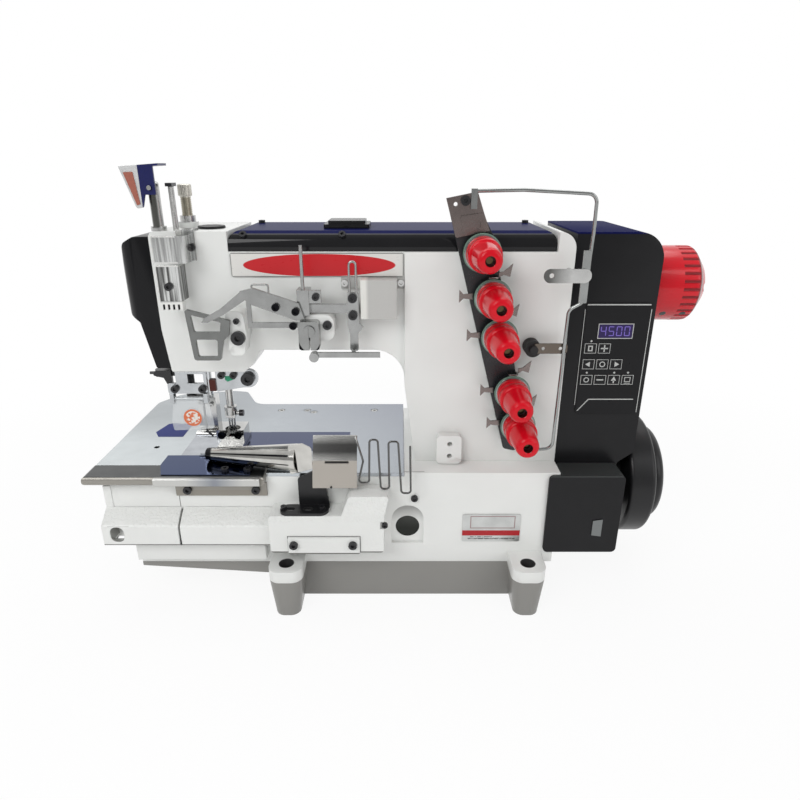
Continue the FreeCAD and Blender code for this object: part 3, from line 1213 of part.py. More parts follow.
# ---------------------------------------------------------------- head mechanism
def head_mechanism():
    front = ARM_FRONT
    toward = V(0, -1, 0)
    hub_y = front - 20
    hub = front_prism(
        [(-171, 313, 6), (-154, 313, 6), (-152, 290), (-156, 270, 5), (-170, 270, 5)],
        hub_y,
        front,
    )
    add("arm_bosses", hub)
    frame_edge = [
        (-207, 316, 2),
        (-166, 305),
        (-168, 291, 2),
        (-174, 285),
        (-178, 266.5, 2),
        (-203, 266.5, 3),
    ]
    frame = front_prism(frame_edge, hub_y - 4, hub_y)
    frame = frame.cut(
        front_prism(
            [(-202.5, 311, 2), (-174.5, 303.5), (-176, 294, 2), (-200.5, 294, 2)],
            hub_y - 5,
            hub_y + 1,
        )
    )
    frame = frame.cut(
        front_prism([(-200, 287, 2), (-179, 287, 2), (-180.5, 270, 2), (-199, 270, 2)], hub_y - 5, hub_y + 1)
    )
    add("guide_frame", frame)
    screw((-160, hub_y, 288), toward, ["arm_bosses"], head_r=6.6, head_h=4.5)
    screw((-160.5, hub_y, 304), toward, ["arm_bosses"], head_r=2.8)

    # rocking take-up lever on its shaft
    near = hub_y - 5.2
    far = near - 3
    x = LEVER_X
    z = LEVER_Z
    shaft = rod(LEVER_SHAFT_R, (x, near - 10.5, z), (x, front + ARM_WALL + 20, z))
    shaft = shaft.cut(box(x - 0.6, x + 0.6, near - 11, near - 9.5, z - 7, z + 7))
    add("takeup_lever", shaft)
    clamp = front_prism(rectangle(x - 10, x + 9, z - 18, z + 9, 3), near - 8.5, near + 2.5)
    bore = rod(LEVER_SHAFT_R, (x, near - 12, z), (x, front, z))
    clamp = clamp.cut(bore).cut(box(x - 0.7, x + 0.7, near - 10, near + 4, z - 19, z - 3))
    add("takeup_lever", clamp)
    plate = front_prism(
        [
            (x - 62, z + 36),
            (x - 50, z + 39, 3),
            (x - 9, z + 25),
            (x - 4, z + 9),
            (x - 12, z + 9),
            (x - 56, z + 25),
        ],
        far,
        near,
    )
    arm_piece = front_prism(
        [
            (x - 61, z + 36),
            (x - 81, z + 20),
            (x - 97, z + 11),
            (x - 100, z + 7),
            (x - 94, z + 7),
            (x - 79, z + 14),
            (x - 56, z + 29),
        ],
        far,
        near,
    )
    bar = box(x - 55, x - 10, far, near, z + 2, z + 7)
    stem = box(x - 57, x - 53, far, near, z + 2, z + 26)
    lever = join([plate, arm_piece, bar, stem])
    add("takeup_lever", lever)
    loop = tube(
        [
            (x - 51, far + 1.5, z + 37),
            (x - 51, far + 1.5, z + 42),
            (x - 36, far + 1.5, z + 42),
            (x - 36, far + 1.5, z + 34),
        ],
        0.9,
        2.0,
    ).cut(lever)
    add("takeup_lever", loop)
    for sx, sz in ((-121.0, 319.0), (-103.0, 315.0), (-106.0, 301.8)):
        screw((sx, far, sz), toward, ["takeup_lever"], "takeup_lever", 3.6, 3.0)

    boss = front_prism(rectangle(x - 9, x + 22, z - 12, z + 12.6, 8), near + 3, front)
    boss = boss.cut(rod(LEVER_SHAFT_R + RUN_GAP, (x, near, z), (x, front + 1, z)))
    add("arm_bosses", boss)
    screw((x + 15.8, near + 3, z + 3.4), toward, ["arm_bosses"])
    block = box(x - 11, x, near + 0.4, front - 7, z + 12.6, z + 36.3)
    strip = box(x, -57, front - 17, front - 14, z + 13.6, z + 21.6)
    ear = box(x, x + 11, near + 2, near + 5, z + 24, z + 36)
    post = rod(1.7, (x - 5.5, near + 4, z + 36.3), (x - 5.5, near + 4, z + 76))
    add("arm_guides", block, strip, ear, post)
    screw((x + 6.3, near + 2, z + 30), toward, ["arm_guides"], head_r=3.4, reach=2.5)

    pin_y = front - 17
    hairpin = front_prism(
        [
            (-57, 330, 2),
            (-46, 330, 2),
            (-46, 301),
            (-42, 297),
            (-47, 291),
            (-47, 274, 2),
            (-55, 274, 2),
            (-55, 291),
            (-57, 300),
        ],
        pin_y,
        pin_y + 3,
    )
    add("arm_guides", hairpin)
    add("arm_guides", box(-56, -48, pin_y + 3, front, 300, 318))
    loop = tube(
        [
            (-54.3, pin_y + 1.5, 330),
            (-54.3, pin_y + 1.5, 358),
            (-48, pin_y + 1.5, 358),
            (-48, pin_y + 1.5, 330),
        ],
        1.1,
        3.0,
    )
    add("arm_guides", loop)
    for sz in (325.0, 308.8):
        screw((-51.5, pin_y, sz), toward, ["arm_guides"], reach=5.0)
    bar = box(-85, -26, pin_y - 14, pin_y - 11.5, 271.5, 276.5)
    knob = rod(4.5, (-88, pin_y - 16, 272), (-88, pin_y - 8, 272))
    stand = rod(2.0, (-51, pin_y - 11.5, 276), (-51, pin_y, 276))
    add("arm_guides", join([bar, knob, stand]))

    window = box(-44, -10, front - 17, front, 305, 341.5).cut(
        box(-42.5, -11.5, front - 15.5, front + 1, 306.5, 340)
    )
    window = window.fuse(box(-10, COLUMN_LEFT - 0.2, front - 2, front, 331, 341.5)).fuse(
        box(-63, -44, front - 2, front, 331, 341.5)
    )
    add("clear_cover", window)
    for sx in (-59.5, -6.5):
        screw((sx, front - 2, 336.5), toward, ["clear_cover", "arm_casting"], "steel_screws", 3.2, 4.0)


def head_front():
    front = ARM_FRONT
    toward = V(0, -1, 0)
    upper = box(-230, -200, front - 20, front - 18.5, 357, 381).fuse(
        box(-201.5, -200, front - 18.5, front - 2, 357, 381)
    )
    add("thread_shield", upper)
    lower = box(-230, -209, front - 19, front - 17.5, 322, 355).fuse(
        box(-210.5, -209, front - 17.5, front, 322, 355)
    )
    add("thread_shield", lower)
    screw((-219.5, front - 19, 336), toward, ["thread_shield"], head_r=3.6, reach=1.5)
    comb = box(-229.5, -208, front - 22, front - 14, 314.5, 322)
    for i in range(4):
        comb = comb.cut(box(-226.5 + i * 4.6, -224.5 + i * 4.6, front - 23, front - 18, 314, 320))
    add("thread_shield", comb)
    clip = box(-213.5, -197, front - 2, front, 357, 385).fuse(box(-213.5, -197, front, front + 14, 383, 385))
    add("thread_shield", clip)
    screw((-206, front - 2, 371), toward, ["thread_shield", "arm_casting"])

    # two brackets under the head; the left one carries the swing-up finger guard
    y = front - 1
    hinge_z = GUARD_HINGE_Z
    plate_edge = [
        (GUARD_L, hinge_z + 5, 2),
        (GUARD_R - 3, hinge_z + 5, 2),
        (GUARD_R - 3, HEAD_UNDER),
        (GUARD_L + 9, HEAD_UNDER),
        (GUARD_L + 9, hinge_z + 16),
        (GUARD_L, hinge_z + 16, 2),
    ]
    window = rectangle(GUARD_L + 20, GUARD_R - 6, hinge_z + 16, HEAD_UNDER - 2, 1)
    plate = front_prism(plate_edge, y, y + 3).cut(front_prism(window, y - 1, y + 4))
    ears = []
    for x in (GUARD_L + 2, GUARD_R - 7):
        ears.append(box(x, x + 4, y - 3.5, y + 3, hinge_z - 4, hinge_z + 6))
    pin_ends = [(x, y - 1, hinge_z) for x in (GUARD_L + 2, GUARD_R - 3)]
    pin = rod(1.3, *pin_ends)
    bracket = join([plate] + ears).cut(pin)
    add("head_brackets", bracket, pin)
    for x in (GUARD_L + 7.5, GUARD_R - 7.7):
        screw((x, y, hinge_z + 10.4), toward, ["head_brackets"], reach=3.0, head_r=3.9)
    guard_edge = [
        (GUARD_L, hinge_z - 25, 2),
        (GUARD_L + 1, hinge_z - 35, 2),
        (GUARD_R, hinge_z - 33, 3),
        (GUARD_R - 2.2, hinge_z - 5.5),
        (GUARD_R - 7.4, hinge_z - 5.5),
        (GUARD_R - 7.4, hinge_z),
        (GUARD_L + 6.4, hinge_z),
        (GUARD_L + 6.4, hinge_z - 5.5),
        (GUARD_L + 3.5, hinge_z - 5.5),
    ]
    guard = front_prism(guard_edge, y - 1.8, y - 0.2)
    barrel = rod(2.4, (GUARD_L + 6.4, y - 1, hinge_z), (GUARD_R - 7.4, y - 1, hinge_z))
    guard = guard.fuse(barrel).cut(rod(1.3 + RUN_GAP, (GUARD_L, y - 1, hinge_z), (GUARD_R, y - 1, hinge_z)))
    add("finger_guard", guard.removeSplitter())
    add(
        "finger_guard",
        rod(9.3, (GUARD_L + 22, y - 2.3, hinge_z - 20.5), (GUARD_L + 22, y - 1.8, hinge_z - 20.5)),
    )

    y = front + 3
    bar_edge = [
        (-194, 224.5, 1),
        (-166, 229.5),
        (HEAD_RIGHT + 11.5, 229.5, 9),
        (HEAD_RIGHT + 11.5, 248.2, 9),
        (HEAD_RIGHT + 1.5, 248.2),
        (HEAD_RIGHT, HEAD_UNDER),
        (-194, HEAD_UNDER),
    ]
    add("head_brackets", front_prism(bar_edge, y, y + 5))
    for x in (-187.5, -175.3):
        screw((x, y, HEAD_UNDER - 4.2), toward, ["head_brackets"], head_r=3.6)
    screw((HEAD_RIGHT + 2, y, 239), toward, ["head_brackets"], head_r=6.6, head_h=4.5)
    add("head_brackets", box(-200.5, -194, y - 2, y + 4, 226, 238))

    sx = SPREADER_X
    sy = SPREADER_Y
    shaft = rod(SPREADER_R, (sx, sy, 214), (sx, sy, HEAD_UNDER + 22))
    arm_edge = [
        (sx - 5, sy + 4, 3),
        (sx + 5, sy + 4, 3),
        (sx + 16, sy - 6, 2),
        (sx + 12, sy - 10, 2),
        (sx - 5, sy - 5, 3),
    ]
    arm_plate = plan_prism(arm_edge, 214, 217)
    lever_edge = [
        (sx + 5, sy + 6, 3),
        (sx + 5, sy - 6, 3),
        (sx - 30, sy - 14, 3),
        (sx - 32, sy - 6, 3),
    ]
    lever = plan_prism(lever_edge, HEAD_UNDER - 8, HEAD_UNDER - 1)
    tail_edge = [
        (sx - 29, HEAD_UNDER - 1),
        (sx - 34, HEAD_UNDER - 6, 2),
        (sx - 22, HEAD_UNDER - 9),
        (sx - 19, HEAD_UNDER - 16, 2),
        (sx - 14, HEAD_UNDER - 16),
        (sx - 14, HEAD_UNDER - 1),
    ]
    tail = front_prism(tail_edge, sy - 14, sy - 10)
    finger = rod(1.5, (sx - 37, sy - 9, HEAD_UNDER - 5), (sx - 10, sy - 9, HEAD_UNDER - 4))
    hook = tube([(sx + 13, sy - 7, 215), (sx + 13, sy - 7, 176), (sx + 19, sy - 7, 170)], 1.2, 5)
    add("spreader", join([shaft, arm_plate, hook]))
    add("spreader", join([lever, tail, finger]).cut(shaft))


# ---------------------------------------------------------------- sewing works in the bed
def bed_works():
    x = LOOPER_X
    pin = rod(LOOPER_SHAFT_R, (x, LOOPER_RAIL - 6, LOOPER_Z), (x, -LOOPER_RAIL + 6, LOOPER_Z))
    add("looper", pin)
    hub = rod(LOOPER_SHAFT_R + 4, (x, NEEDLE_Y - 8, LOOPER_Z), (x, NEEDLE_Y + 8, LOOPER_Z))
    stem = front_prism(
        [(x - 5, LOOPER_Z, 0), (x + 5, LOOPER_Z), (x + 3.5, 118), (x - 3.5, 118)],
        NEEDLE_Y - 3.5,
        NEEDLE_Y + 3.5,
    )
    blade = front_prism(
        [(x - 3.5, 112), (x + 3.5, 112), (x + 3.5, 122), (x + 24, 126), (x + 3, 127, 3), (x - 3.5, 122)],
        NEEDLE_Y - 1.2,
        NEEDLE_Y + 1.2,
    )
    looper = join([hub, stem, blade]).cut(pin)
    add("looper", looper)
    z = FEED_BAR_Z
    bar = box(FEED_BAR_X - 6, FEED_BAR_X + 6, NEEDLE_Y + 14, BED_HALF_DEPTH - BED_WALL - 6, z, z + 7)
    carrier = box(FEED_BAR_X - 13, FEED_BAR_X + 13, NEEDLE_Y + 12, NEEDLE_Y + 18, z, z + 14)
    rows = [carrier, bar]
    for dx in FEED_ROWS:
        row = box(
            FEED_BAR_X + dx - 2, FEED_BAR_X + dx + 2, NEEDLE_Y - 15, NEEDLE_Y + 15, z + 9, BED_TOP - 0.6
        )
        for i in range(8):
            notch = side_prism(
                [
                    (NEEDLE_Y - 14 + i * 3.6, BED_TOP),
                    (NEEDLE_Y - 12.4 + i * 3.6, BED_TOP - 2.2),
                    (NEEDLE_Y - 11.6 + i * 3.6, BED_TOP),
                ],
                FEED_BAR_X + dx - 3,
                FEED_BAR_X + dx + 3,
            )
            row = row.cut(notch)
        rows.append(row)
    add("feed_dog", join(rows))


def binder():
    """Folding scroll on its black bracket, and the bent tape guide with its wire."""
    mouth = V(BINDER_MOUTH_X, BINDER_Y, BINDER_Z)
    tip = V(BINDER_TIP_X, BINDER_Y + 23, BINDER_Z - 7)
    line = tip - mouth
    sheet = BINDER_SHEET
    outer = Part.makeCone(BINDER_MOUTH_R, BINDER_TIP_R, line.Length, mouth, line)
    inner = Part.makeCone(BINDER_MOUTH_R - sheet, BINDER_TIP_R - sheet, line.Length, mouth, line)
    slit = box(0, line.Length - 12, -1.2, 1.2, -16, 0)
    slit.Placement = FreeCAD.Placement(mouth, FreeCAD.Rotation(X_AXIS, line))
    # the mouth is cut obliquely, long at the front
    slant = [
        (BINDER_MOUTH_X + 3, BINDER_Y - 30),
        (BINDER_MOUTH_X - 4, BINDER_Y + 30),
        (BINDER_MOUTH_X + 30, BINDER_Y + 30),
        (BINDER_MOUTH_X + 30, BINDER_Y - 30),
    ]
    mouth_cut = plan_prism(slant, BED_TOP, BINDER_Z + 40)
    add("binder_scroll", outer.cut(inner).cut(slit).cut(mouth_cut))

    plate_y = BINDER_Y - 7
    cheek_edge = [
        (BINDER_MOUTH_X - 9, BINDER_Z - 15, 2),
        (GUIDE_L - 1, BINDER_Z - 9, 2),
        (GUIDE_L - 1, BINDER_Z + 14, 2),
        (GUIDE_L - 10, BINDER_Z + 19, 2),
        (BINDER_MOUTH_X - 9, BINDER_Z + 17, 2),
    ]
    cheek = front_prism(cheek_edge, plate_y, plate_y + sheet).cut(outer)
    add("binder_scroll", cheek)
    foot_top = BLOCK_TOP + 3
    foot = plan_prism(rectangle(-128, -79, FRONT_BLOCK_Y, plate_y - 3, 9), BLOCK_TOP, foot_top)
    for x in (-118.0, -100.0):
        slot = rectangle(x - 5, x + 5, plate_y - 14.5, plate_y - 9.5, 2.4)
        foot = foot.cut(plan_prism(slot, BLOCK_TOP - 1, foot_top + 1))
    blade_edge = [
        (BINDER_MOUTH_X - 1, BLOCK_TOP + 1),
        (BINDER_MOUTH_X - 1, BED_TOP - 3, 2),
        (GUIDE_L + 0.4, BED_TOP + 6, 2),
        (-82, 136, 6),
        (-79, BLOCK_TOP + 1),
    ]
    blade = front_prism(blade_edge, plate_y - 3, plate_y)
    foot = foot.fuse(box(BINDER_MOUTH_X - 1, -79, plate_y - 6, plate_y, BLOCK_TOP, foot_top))
    add("binder_bracket", foot.fuse(blade).removeSplitter())
    for x in (-124.5, -86.0):
        screw((x, plate_y - 11.5, foot_top), Z_AXIS, ["binder_bracket", "front_block"], head_r=3.0, reach=7)

    # tape guide: a sheet bent at mid height, with a slot, standing on a tab
    low = (GUIDE_Y, BED_TOP - 8)
    bend = (GUIDE_Y + 8.5, BED_TOP + 18)
    high = (GUIDE_Y + 22, BED_TOP + 39)
    guide_edge = [
        low,
        (low[0] + GUIDE_T, low[1]),
        (bend[0] + GUIDE_T, bend[1] - 1),
        (high[0] + GUIDE_T, high[1]),
        high,
        bend,
    ]
    guide = side_prism(guide_edge, GUIDE_L, GUIDE_R)
    guide = guide.cut(front_prism(rectangle(-82, -58, BED_TOP + 15, BED_TOP + 17.5, 1), -120, -60))
    crown_left = FRONT_BLOCK_R - 44
    guide = guide.cut(box(crown_left, GUIDE_R + 1, GUIDE_Y - 1, GUIDE_Y + 20, BLOCK_TOP, BLOCK_CROWN + 5))
    tab = box(-80, -62, GUIDE_Y + 4, NOSE_BACK + 3.5, BED_TOP, BED_TOP + 2)
    guide = guide.fuse(tab)
    add("tape_guide", guide.removeSplitter())
    foot = (-71, NOSE_BACK - 5, BED_TOP + 2)
    screw(foot, Z_AXIS, ["tape_guide", "cloth_plate"], "steel_screws", 4.2, 5)
    add_wire(guide, bend, high)


def add_wire(guide, bend, high):
    """Serpentine tape wire: down the guide's right edge, then three tall loops."""
    z_low = BLOCK_CROWN + 9
    loop_low = BLOCK_CROWN + 2
    wire_y = GUIDE_Y + 4
    lean = (high[0] - bend[0]) / (high[1] - bend[1])
    top_z = high[1] - 1
    edge_x = GUIDE_R + 1.2
    route = [
        (edge_x - 3, bend[0] + lean * (top_z - bend[1]), top_z),
        (edge_x + 5, bend[0] - 0.6, bend[1]),
        (edge_x, wire_y, z_low),
        (-38, wire_y, z_low),
        (-37, wire_y, 193),
        (-29, wire_y, 193),
        (-26.5, wire_y, loop_low),
        (-18, wire_y, loop_low),
        (-18.6, wire_y, 191),
        (-9.2, wire_y, 191),
        (-6, wire_y, 134),
        (3.4, wire_y, 134),
        (2.5, wire_y, 186),
    ]
    wire = tube(route, 1.0, 3.2)
    add("tape_guide", wire.cut(guide))


def main():
    bed()
    plates()
    front_block()
    covers()
    arm()
    drive()
    handwheel()
    control()
    motor()
    needle_gear()
    presser_gear()
    pressure_adjuster()
    lifter()
    tension_row()
    wire_frame()
    head_mechanism()
    head_front()
    bed_works()
    binder()
    os.makedirs("parts", exist_ok=True)
    for name, shapes in nodes.items():
        solids = []
        for shape in shapes:
            solids.extend(shape.Solids)
        whole = solids[0] if len(solids) == 1 else Part.makeCompound(solids)
        whole.exportStep("parts/" + name + ".step")


main()
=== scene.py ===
import json
import math

import bmesh
import bpy
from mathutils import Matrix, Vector


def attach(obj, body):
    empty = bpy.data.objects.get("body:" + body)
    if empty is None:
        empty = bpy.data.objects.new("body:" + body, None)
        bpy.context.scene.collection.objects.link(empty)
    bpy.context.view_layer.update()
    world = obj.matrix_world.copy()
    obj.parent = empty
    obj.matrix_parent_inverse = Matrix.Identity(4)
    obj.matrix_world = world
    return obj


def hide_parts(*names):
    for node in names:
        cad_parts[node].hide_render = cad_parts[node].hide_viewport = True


# Flatbed interlock sewing machine. Metres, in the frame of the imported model:
# X runs to the handwheel, -Y to the operator and Z up.

MM = 0.001
SMOOTH_ANGLE = math.radians(38)

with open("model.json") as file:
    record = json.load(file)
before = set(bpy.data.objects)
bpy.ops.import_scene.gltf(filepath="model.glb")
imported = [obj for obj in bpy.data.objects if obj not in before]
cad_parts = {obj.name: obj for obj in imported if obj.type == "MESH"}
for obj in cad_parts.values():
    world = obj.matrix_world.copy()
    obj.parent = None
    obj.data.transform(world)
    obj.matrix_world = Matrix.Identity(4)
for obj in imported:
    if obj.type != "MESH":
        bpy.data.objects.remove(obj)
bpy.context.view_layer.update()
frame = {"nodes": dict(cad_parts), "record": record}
nodes = frame["nodes"]
slot_of = {part["node"]: part["material_slot"] for part in frame["record"]["subparts"]}
bodies = frame["record"]["behaviour"]["bodies"]
body_of = {node: body for body, members in bodies.items() for node in members}
bpy.ops.object.select_all(action="DESELECT")
bpy.context.tool_settings.mesh_select_mode = (False, False, True)

# ---------------------------------------------------------------- shader maths
class Value:
    """A shader socket that adds Math nodes when it is used in an expression."""

    def __init__(self, maker, socket):
        self.maker = maker
        self.socket = socket

    def math(self, operation, *values):
        settings = {"operation": operation}
        return self.maker.node("ShaderNodeMath", settings, dict(enumerate(values)))

    def __add__(self, other):
        return self.math("ADD", self, other)

    def __sub__(self, other):
        return self.math("SUBTRACT", self, other)

    def __rsub__(self, other):
        return self.math("SUBTRACT", other, self)

    def __mul__(self, other):
        return self.math("MULTIPLY", self, other)

    def __truediv__(self, other):
        return self.math("DIVIDE", self, other)

    __radd__ = __add__
    __rmul__ = __mul__

    def above(self, limit, soft=0.1 * MM):
        """1 where the value is over the limit and 0 below it, with a soft step."""
        return self.maker.node("ShaderNodeClamp", {}, {"Value": (self - limit) / soft + 0.5})

    def between(self, low, high, soft=0.1 * MM):
        """1 where the value lies between two limits, with soft steps."""
        return self.above(low, soft) * (1 - self.above(high, soft))

    def larger(self, other):
        return self.math("MAXIMUM", self, other)


class Maker:
    """Adds nodes to an empty node tree."""

    def __init__(self, tree):
        self.tree = tree
        tree.nodes.clear()

    def fill(self, target, value):
        if isinstance(value, Value):
            self.tree.links.new(value.socket, target)
        elif target.type == "RGBA" and len(value) == 3:
            target.default_value = (*value, 1.0)
        else:
            target.default_value = value

    def node(self, kind, settings, inputs, output=0):
        """Adds a node: first its settings, then the values or links of its sockets."""
        made = self.tree.nodes.new(kind)
        for setting, value in settings.items():
            setattr(made, setting, value)
        for socket, value in inputs.items():
            self.fill(made.inputs[socket], value)
        return Value(self, made.outputs[output]) if made.outputs else None

    def mix_shader(self, factor, first, second):
        return self.node("ShaderNodeMixShader", {}, {0: factor, 1: first, 2: second})


class Finish(Maker):
    """A node material around one Principled shader."""

    def __init__(self, name, color, rough, metal=0.0, **sockets):
        self.material = bpy.data.materials.new(name)
        self.material.use_nodes = True
        super().__init__(self.material.node_tree)
        self.surface = self.tree.nodes.new("ShaderNodeOutputMaterial").inputs["Surface"]
        self.shader = self.tree.nodes.new("ShaderNodeBsdfPrincipled")
        self.fill(self.surface, Value(self, self.shader.outputs[0]))
        self.set("Base Color", color)
        self.set("Roughness", rough)
        self.set("Metallic", metal)
        for socket, value in sockets.items():
            self.set(socket.replace("_", " "), value)
        self.place = self.node("ShaderNodeTexCoord", {}, {}, "Object")

    def set(self, socket, value):
        self.fill(self.shader.inputs[socket], value)

    def axis(self, letter):
        return self.node("ShaderNodeSeparateXYZ", {}, {"Vector": self.place}, letter)

    def noise(self, size, detail=2.0, stretch=(1.0, 1.0, 1.0)):
        """Noise whose lumps are about the given size, drawn out by stretch."""
        scale = tuple(1.0 / (size * s) for s in stretch)
        where = self.node("ShaderNodeMapping", {}, {"Vector": self.place, "Scale": scale})
        inputs = {"Vector": where, "Scale": 1.0, "Detail": detail}
        return self.node("ShaderNodeTexNoise", {}, inputs)

    def mix(self, factor, first, second):
        inputs = {0: factor, 6: first, 7: second}
        return self.node("ShaderNodeMix", {"data_type": "RGBA"}, inputs, 2)

    def relief(self, height, depth, edge=0.0):
        """Fine relief of the given depth, over edges softened by the given radius."""
        inputs = {"Height": height, "Distance": depth, "Strength": 1.0}
        if edge:
            inputs["Normal"] = self.soft_edge(edge)
        self.set("Normal", self.node("ShaderNodeBump", {}, inputs))

    def soft_edge(self, radius):
        return self.node("ShaderNodeBevel", {"samples": 4}, {"Radius": radius})


# ---------------------------------------------------------------- finishes
def region(finish, x=None, y=None, z=None, soft=0.15 * MM):
    """1 inside the given ranges, in millimetres, and 0 outside them."""
    inside = 1.0
    for letter, limits in (("X", x), ("Y", y), ("Z", z)):
        if limits:
            low, high = (edge * MM for edge in limits)
            inside = finish.axis(letter).between(low, high, soft) * inside
    return inside


def disc(finish, a, b, centre, radii, edge=1.0):
    """1 inside an ellipse on two axes, scaled by edge."""
    across = (finish.axis(a) - centre[0] * MM) / (radii[0] * edge * MM)
    along = (finish.axis(b) - centre[1] * MM) / (radii[1] * edge * MM)
    return 1 - (across * across + along * along).above(1.0, 0.05)


def enamel(name, color, rough, lump, depth, edge):
    """Sprayed enamel on a casting: faint orange peel and a slightly uneven tone."""
    finish = Finish(name, color, rough, Coat_Weight=0.3, Coat_Roughness=0.10)
    tone = finish.noise(60 * MM, 3.0)
    dim = tuple(c * 0.95 for c in color)
    finish.tint = finish.mix(tone.above(0.5, 0.5), color, dim)
    finish.set("Base Color", finish.tint)
    finish.set("Roughness", rough + 0.12 * finish.noise(9 * MM))
    finish.relief(finish.noise(lump, 3.0), depth, edge)
    return finish


def steel(name, color, rough, grain=(1.0, 1.0, 1.0), edge=0.3 * MM, dark=0.80):
    """Ground or polished steel with a fine grain along one axis."""
    finish = Finish(name, color, rough, 1.0)
    lines = finish.noise(0.7 * MM, 3.0, grain)
    clouds = finish.noise(14 * MM, 2.0)
    finish.tint = finish.mix(clouds.above(0.55, 0.5), color, tuple(c * dark for c in color))
    finish.set("Base Color", finish.tint)
    finish.set("Roughness", rough * (0.75 + 0.5 * lines))
    finish.relief(lines, 0.004 * MM, edge)
    return finish


def plastic(name, color, rough, grain=0.8 * MM, depth=0.01 * MM, edge=0.6 * MM, coat=0.0):
    """Moulded plastic with a faint grain."""
    finish = Finish(name, color, rough, Coat_Weight=coat, Coat_Roughness=0.05)
    pale = tuple(min(1.0, c * 1.25 + 0.002) for c in color)
    finish.tint = finish.mix(finish.noise(25 * MM, 3.0), color, pale)
    finish.set("Base Color", finish.tint)
    finish.set("Roughness", rough + 0.12 * (finish.noise(6 * MM) - 0.5))
    finish.relief(finish.noise(grain), depth, edge)
    return finish


def clear(name, tint, rough, **sockets):
    """Clear moulded plastic or glass."""
    finish = Finish(name, tint, rough, IOR=1.46, **sockets)
    finish.set("Roughness", rough + 0.05 * finish.noise(12 * MM))
    finish.relief(finish.noise(3 * MM), 0.005 * MM)
    return finish


RED = (0.54, 0.003, 0.012)
WHITE = (0.80, 0.81, 0.79)
NAVY_REFLECTION = (0.005, 0.007, 0.060)
SCREW_BLACK = (0.012, 0.012, 0.014)
# in millimetres: the knobs' axes, the radius of the painted shade in their mouths, the lugs'
# centres and the radius of the painted shade in their holes
KNOB_AXES = ((66.0, 367.0), (77.5, 326.6), (86.0, 289.5), (101.6, 234.0), (109.6, 199.0))
KNOB_MOUTH_SHADE = 4.4
LUGS = ((-125, -108), (-125, 108), (125, -108), (125, 108))
LUG_HOLE = 7.9


def knob_finish():
    """Gloss red knob with painted shade inside its hole."""
    finish = plastic("gloss red knob", RED, 0.20, 2.5 * MM, 0.01 * MM, 0.5 * MM, 0.3)
    finish.set("Specular IOR Level", 0.1)
    # painted shade inside each knob's mouth
    bore_shade = sum(disc(finish, "X", "Z", axis, (KNOB_MOUTH_SHADE, KNOB_MOUTH_SHADE)) for axis in KNOB_AXES)
    finish.set("Base Color", finish.mix(bore_shade, finish.tint, (0.05, 0.004, 0.004)))
    return finish


def dark_lug_holes(finish, color):
    """Shade inside the four lug holes."""
    inside = sum(disc(finish, "X", "Y", lug, (LUG_HOLE, LUG_HOLE)) for lug in LUGS)
    low = 1 - finish.axis("Z").above(60 * MM)
    finish.set("Base Color", finish.mix(inside * low, finish.tint, color))


def white_enamel(name):
    return enamel(name, WHITE, 0.28, 1.1 * MM, 0.012 * MM, 1.0 * MM)


def pan_finish():
    """Grey enamel of the pan, dark in its lug holes."""
    grey = (0.245, 0.24, 0.225)
    finish = enamel("grey pan enamel", grey, 0.36, 0.9 * MM, 0.02 * MM, 1.0 * MM)
    dark_lug_holes(finish, (0.04, 0.04, 0.04))
    return finish


# the plain finishes, by material slot
finishes = {
    "white_paint": white_enamel("white enamel"),
    "grey_paint": pan_finish(),
    "polished_steel": steel("polished steel", (0.62, 0.62, 0.61), 0.20, (1.0, 1.0, 12.0)),
    "mirror_steel": steel("mirror steel", (0.72, 0.74, 0.76), 0.09, (8.0, 1.0, 1.0)),
    "shaft_steel": steel("ground shaft steel", (0.55, 0.55, 0.56), 0.25, (1.0, 12.0, 12.0)),
    "red_plastic": knob_finish(),
}
# the dark ones: name, colour, roughness, shine, then grain, its depth and edge radius in mm
DARK_FINISHES = {
    "binder_steel": ("black binder steel", (0.004, 0.004, 0.005), 0.34, 0.5, 0.5, 0.006, 0.3),
    "black_oxide": ("black oxide steel", (0.010, 0.010, 0.012), 0.28, 0.5, 0.5, 0.006, 0.3),
    "black_gloss": ("gloss black cover", (0.005, 0.005, 0.006), 0.18, 0.2, 2.0, 0.004, 1.0),
    "black_plastic": ("satin black box", (0.009, 0.009, 0.010), 0.34, 0.25, 0.6, 0.02, 1.0),
    "motor_black": ("satin black motor", (0.008, 0.008, 0.009), 0.34, 0.35, 0.7, 0.03, 1.0),
    "key_film": ("key film", (0.009, 0.009, 0.010), 0.26, 0.2, 0.4, 0.004, 0.2),
    "black_rubber": ("black rubber", (0.012, 0.012, 0.012), 0.60, 0.5, 0.8, 0.01, 0.6),
    "belt_rubber": ("belt rubber", (0.016, 0.016, 0.016), 0.65, 0.5, 0.8, 0.01, 0.6),
}
for slot, (name, color, rough, shine, grain, depth, edge) in DARK_FINISHES.items():
    finishes[slot] = plastic(name, color, rough, grain * MM, depth * MM, edge * MM)
    finishes[slot].set("Specular IOR Level", shine)


def bed_finish():
    """White bed enamel: painted shade in the lug holes and in the top of the sight recess, the seam
    above the doors.
    """
    finish = white_enamel("white bed enamel")
    recess = region(finish, x=(-16.5, 17.5), y=(-84.6, -83.4))
    # painted shade, deepening towards the top of the recess
    arch_shade = recess * finish.axis("Z").above(99 * MM, 16 * MM)
    finish.tint = finish.mix(arch_shade, finish.tint, (0.34, 0.34, 0.33))
    seam = region(finish, x=(-234.5, -233.7), y=(-87.5, -86.5), z=(111, 126))
    finish.tint = finish.mix(seam, finish.tint, (0.16, 0.16, 0.15))
    dark_lug_holes(finish, (0.05, 0.05, 0.05))
    return finish


